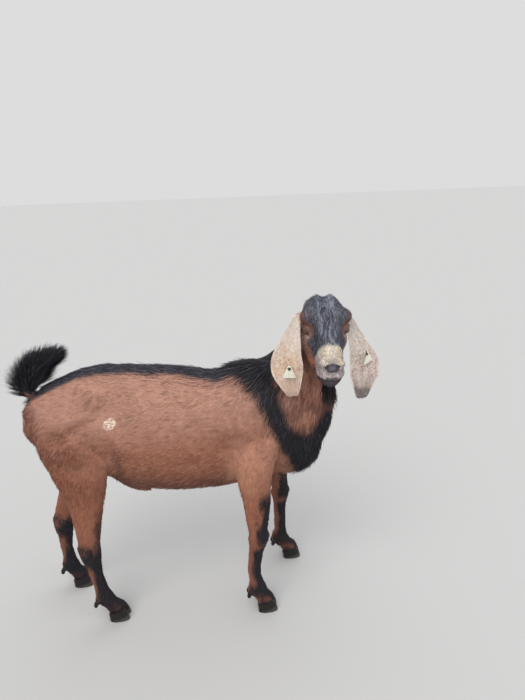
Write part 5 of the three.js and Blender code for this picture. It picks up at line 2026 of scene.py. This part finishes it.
horn_bump = add(horn, "ShaderNodeBump", [("Normal", horn_shader, "Normal")], Strength=0.5, Distance=0.0004)
link(fibre.outputs["Fac"], horn_bump.inputs["Height"])
for item, node in horns:
    item.data.materials.append(horn)
print("horn on", len(horns), "pieces")

# %% Tag plastic
tag_plastic, tag_shader = new_material("moulded tag plastic", Roughness=0.42)
place = add(tag_plastic, "ShaderNodeTexCoord").outputs["Object"]
dust = add(tag_plastic, "ShaderNodeTexNoise", Scale=1 / (6 * MM), Detail=4.0)
link(place, dust.inputs["Vector"])
tag_mix = add(tag_plastic, "ShaderNodeMix", [(MIX_RESULT, tag_shader, "Base Color")], data_type="RGBA")
tag_ramp = add(tag_plastic, "ShaderNodeValToRGB")
link(tag_ramp.outputs["Color"], tag_mix.inputs[MIX_FROM])
link(dust.outputs["Fac"], tag_ramp.inputs["Fac"])
fill_ramp(tag_ramp, [(0.3, "#cdcab4"), (0.5, "#dcdccb"), (0.75, "#e6e6d9")])
is_stud = add(tag_plastic, "ShaderNodeAttribute", attribute_name="stud").outputs["Fac"]
link(is_stud, tag_mix.inputs["Factor"])
tag_mix.inputs[MIX_TO].default_value = (*linear("#4a4740"), 1)
to_shader = [("Normal", tag_shader, "Normal")]
tag_bump = add(tag_plastic, "ShaderNodeBump", to_shader, Strength=0.15, Distance=0.0002)
link(dust.outputs["Fac"], tag_bump.inputs["Height"])
for item, node in tags:
    item.data.materials.clear()
    item.data.materials.append(tag_plastic)
print("plastic on", len(tags), "tags")

# %% Pieces placed, and the solid's parts they hide
flesh = [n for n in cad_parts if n.endswith(("forearm", "gaskin", "cannon"))]
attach(skin, "root")
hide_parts("torso", "neck", "head", "tail", "ear_right", "ear_left", *flesh)
for piece, slot in coat:
    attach(piece, "root")
for group, slot in ((eyes, "eye"), (horns, "horn"), (tags, "tag_plastic")):
    for item, node in group:
        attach(item, "root")
        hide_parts(node)
print("pieces placed:", 1 + len(coat) + len(eyes) + len(horns) + len(tags))

# %% [markdown]
# ## Stage
# The goat stands on a plain pale floor, wide enough to reach the horizon, under soft studio light. Broad suns
# light the floor alike near and far, as a lamp with a place would not: a key from the camera's left, a softer
# one from above and behind, and a weak fill from the right.

# %% Floor and light
floor_material = new_material(
    "pale studio floor", Base_Color=(*linear("#b3b3b3"), 1), Roughness=1.0, Specular_IOR_Level=0.0
)[0]
bpy.ops.mesh.primitive_plane_add(size=160, location=(0, 0, 0))
floor = bpy.context.object
floor.name = "floor"
floor.data.materials.append(floor_material)
floor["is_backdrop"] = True
LAMPS = [  # name, place, power, colour and how wide it looks in degrees
    ("soft_sun", (-1.5, -3.0, 4.6), 1.9, "#fffdfa", 45),
    ("soft_top", (1.0, 1.5, 5.0), 0.9, "#fbfcff", 70),
    ("soft_fill", (3.0, -3.0, 2.4), 0.45, "#ffffff", 60),
]
LIT_PLACE = Vector((0, 0, 0.5))
for name, at, power, tint, width in LAMPS:
    bpy.ops.object.light_add(type="SUN", location=at)
    lamp = bpy.context.object
    lamp.name = name
    lamp.data.energy = power
    lamp.data.color = linear(tint)
    lamp.data.angle = math.radians(width)
    lamp.rotation_euler = (LIT_PLACE - Vector(at)).to_track_quat("-Z", "Y").to_euler()
world = bpy.data.worlds.new("studio")
world.use_nodes = True
world.node_tree.nodes["Background"].inputs["Color"].default_value = (*linear("#f1f1f1"), 1)
world.node_tree.nodes["Background"].inputs["Strength"].default_value = 0.82
bpy.context.scene.world = world
bpy.context.scene.view_settings.view_transform = "Standard"

# %% [markdown]
# ## Camera
# The camera stands where the photographer stood: on the goat's right, higher than its back and a little ahead
# of its middle. It looks down and slightly toward the head, and is turned a little about its own axis. Its
# focal length is given in pixels of a 525 by 700 picture.

# %% Camera
CAMERA_AT = (138.3, -1382.5, 1270)
CAMERA_TURN = math.degrees(math.atan2(0.0990, 0.9951))
CAMERA_DROP, CAMERA_ROLL = 18.2, 2.2
FOCAL_PIXELS, PICTURE_HEIGHT = 510, 700
turn, drop, roll = (math.radians(v) for v in (CAMERA_TURN, CAMERA_DROP, CAMERA_ROLL))
forward = Vector((math.sin(turn), math.cos(turn), 0))
level_right = Vector((math.cos(turn), -math.sin(turn), 0))
up_axis = Vector((0, 0, 1))
view_axis = forward * math.cos(drop) - up_axis * math.sin(drop)
view_down = -forward * math.sin(drop) - up_axis * math.cos(drop)
picture_right = level_right * math.cos(roll) + view_down * math.sin(roll)
picture_down = -level_right * math.sin(roll) + view_down * math.cos(roll)
camera_data = bpy.data.cameras.new("camera")
camera = bpy.data.objects.new("camera", camera_data)
bpy.context.collection.objects.link(camera)
camera_data.sensor_width = 36
camera_data.lens = FOCAL_PIXELS / PICTURE_HEIGHT * camera_data.sensor_width
camera_data.clip_start, camera_data.clip_end = 0.05, 50
axes = Matrix((picture_right, -picture_down, -view_axis)).transposed()
camera.matrix_world = Matrix.Translation(Vector(to_model(CAMERA_AT))) @ axes.to_4x4()
bpy.context.scene.camera = camera
print("camera lens, mm:", round(camera_data.lens, 2))

# %% Sizes of the scene
low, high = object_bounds()
print("visual box:", [round(v, 3) for v in low], [round(v, 3) for v in high])
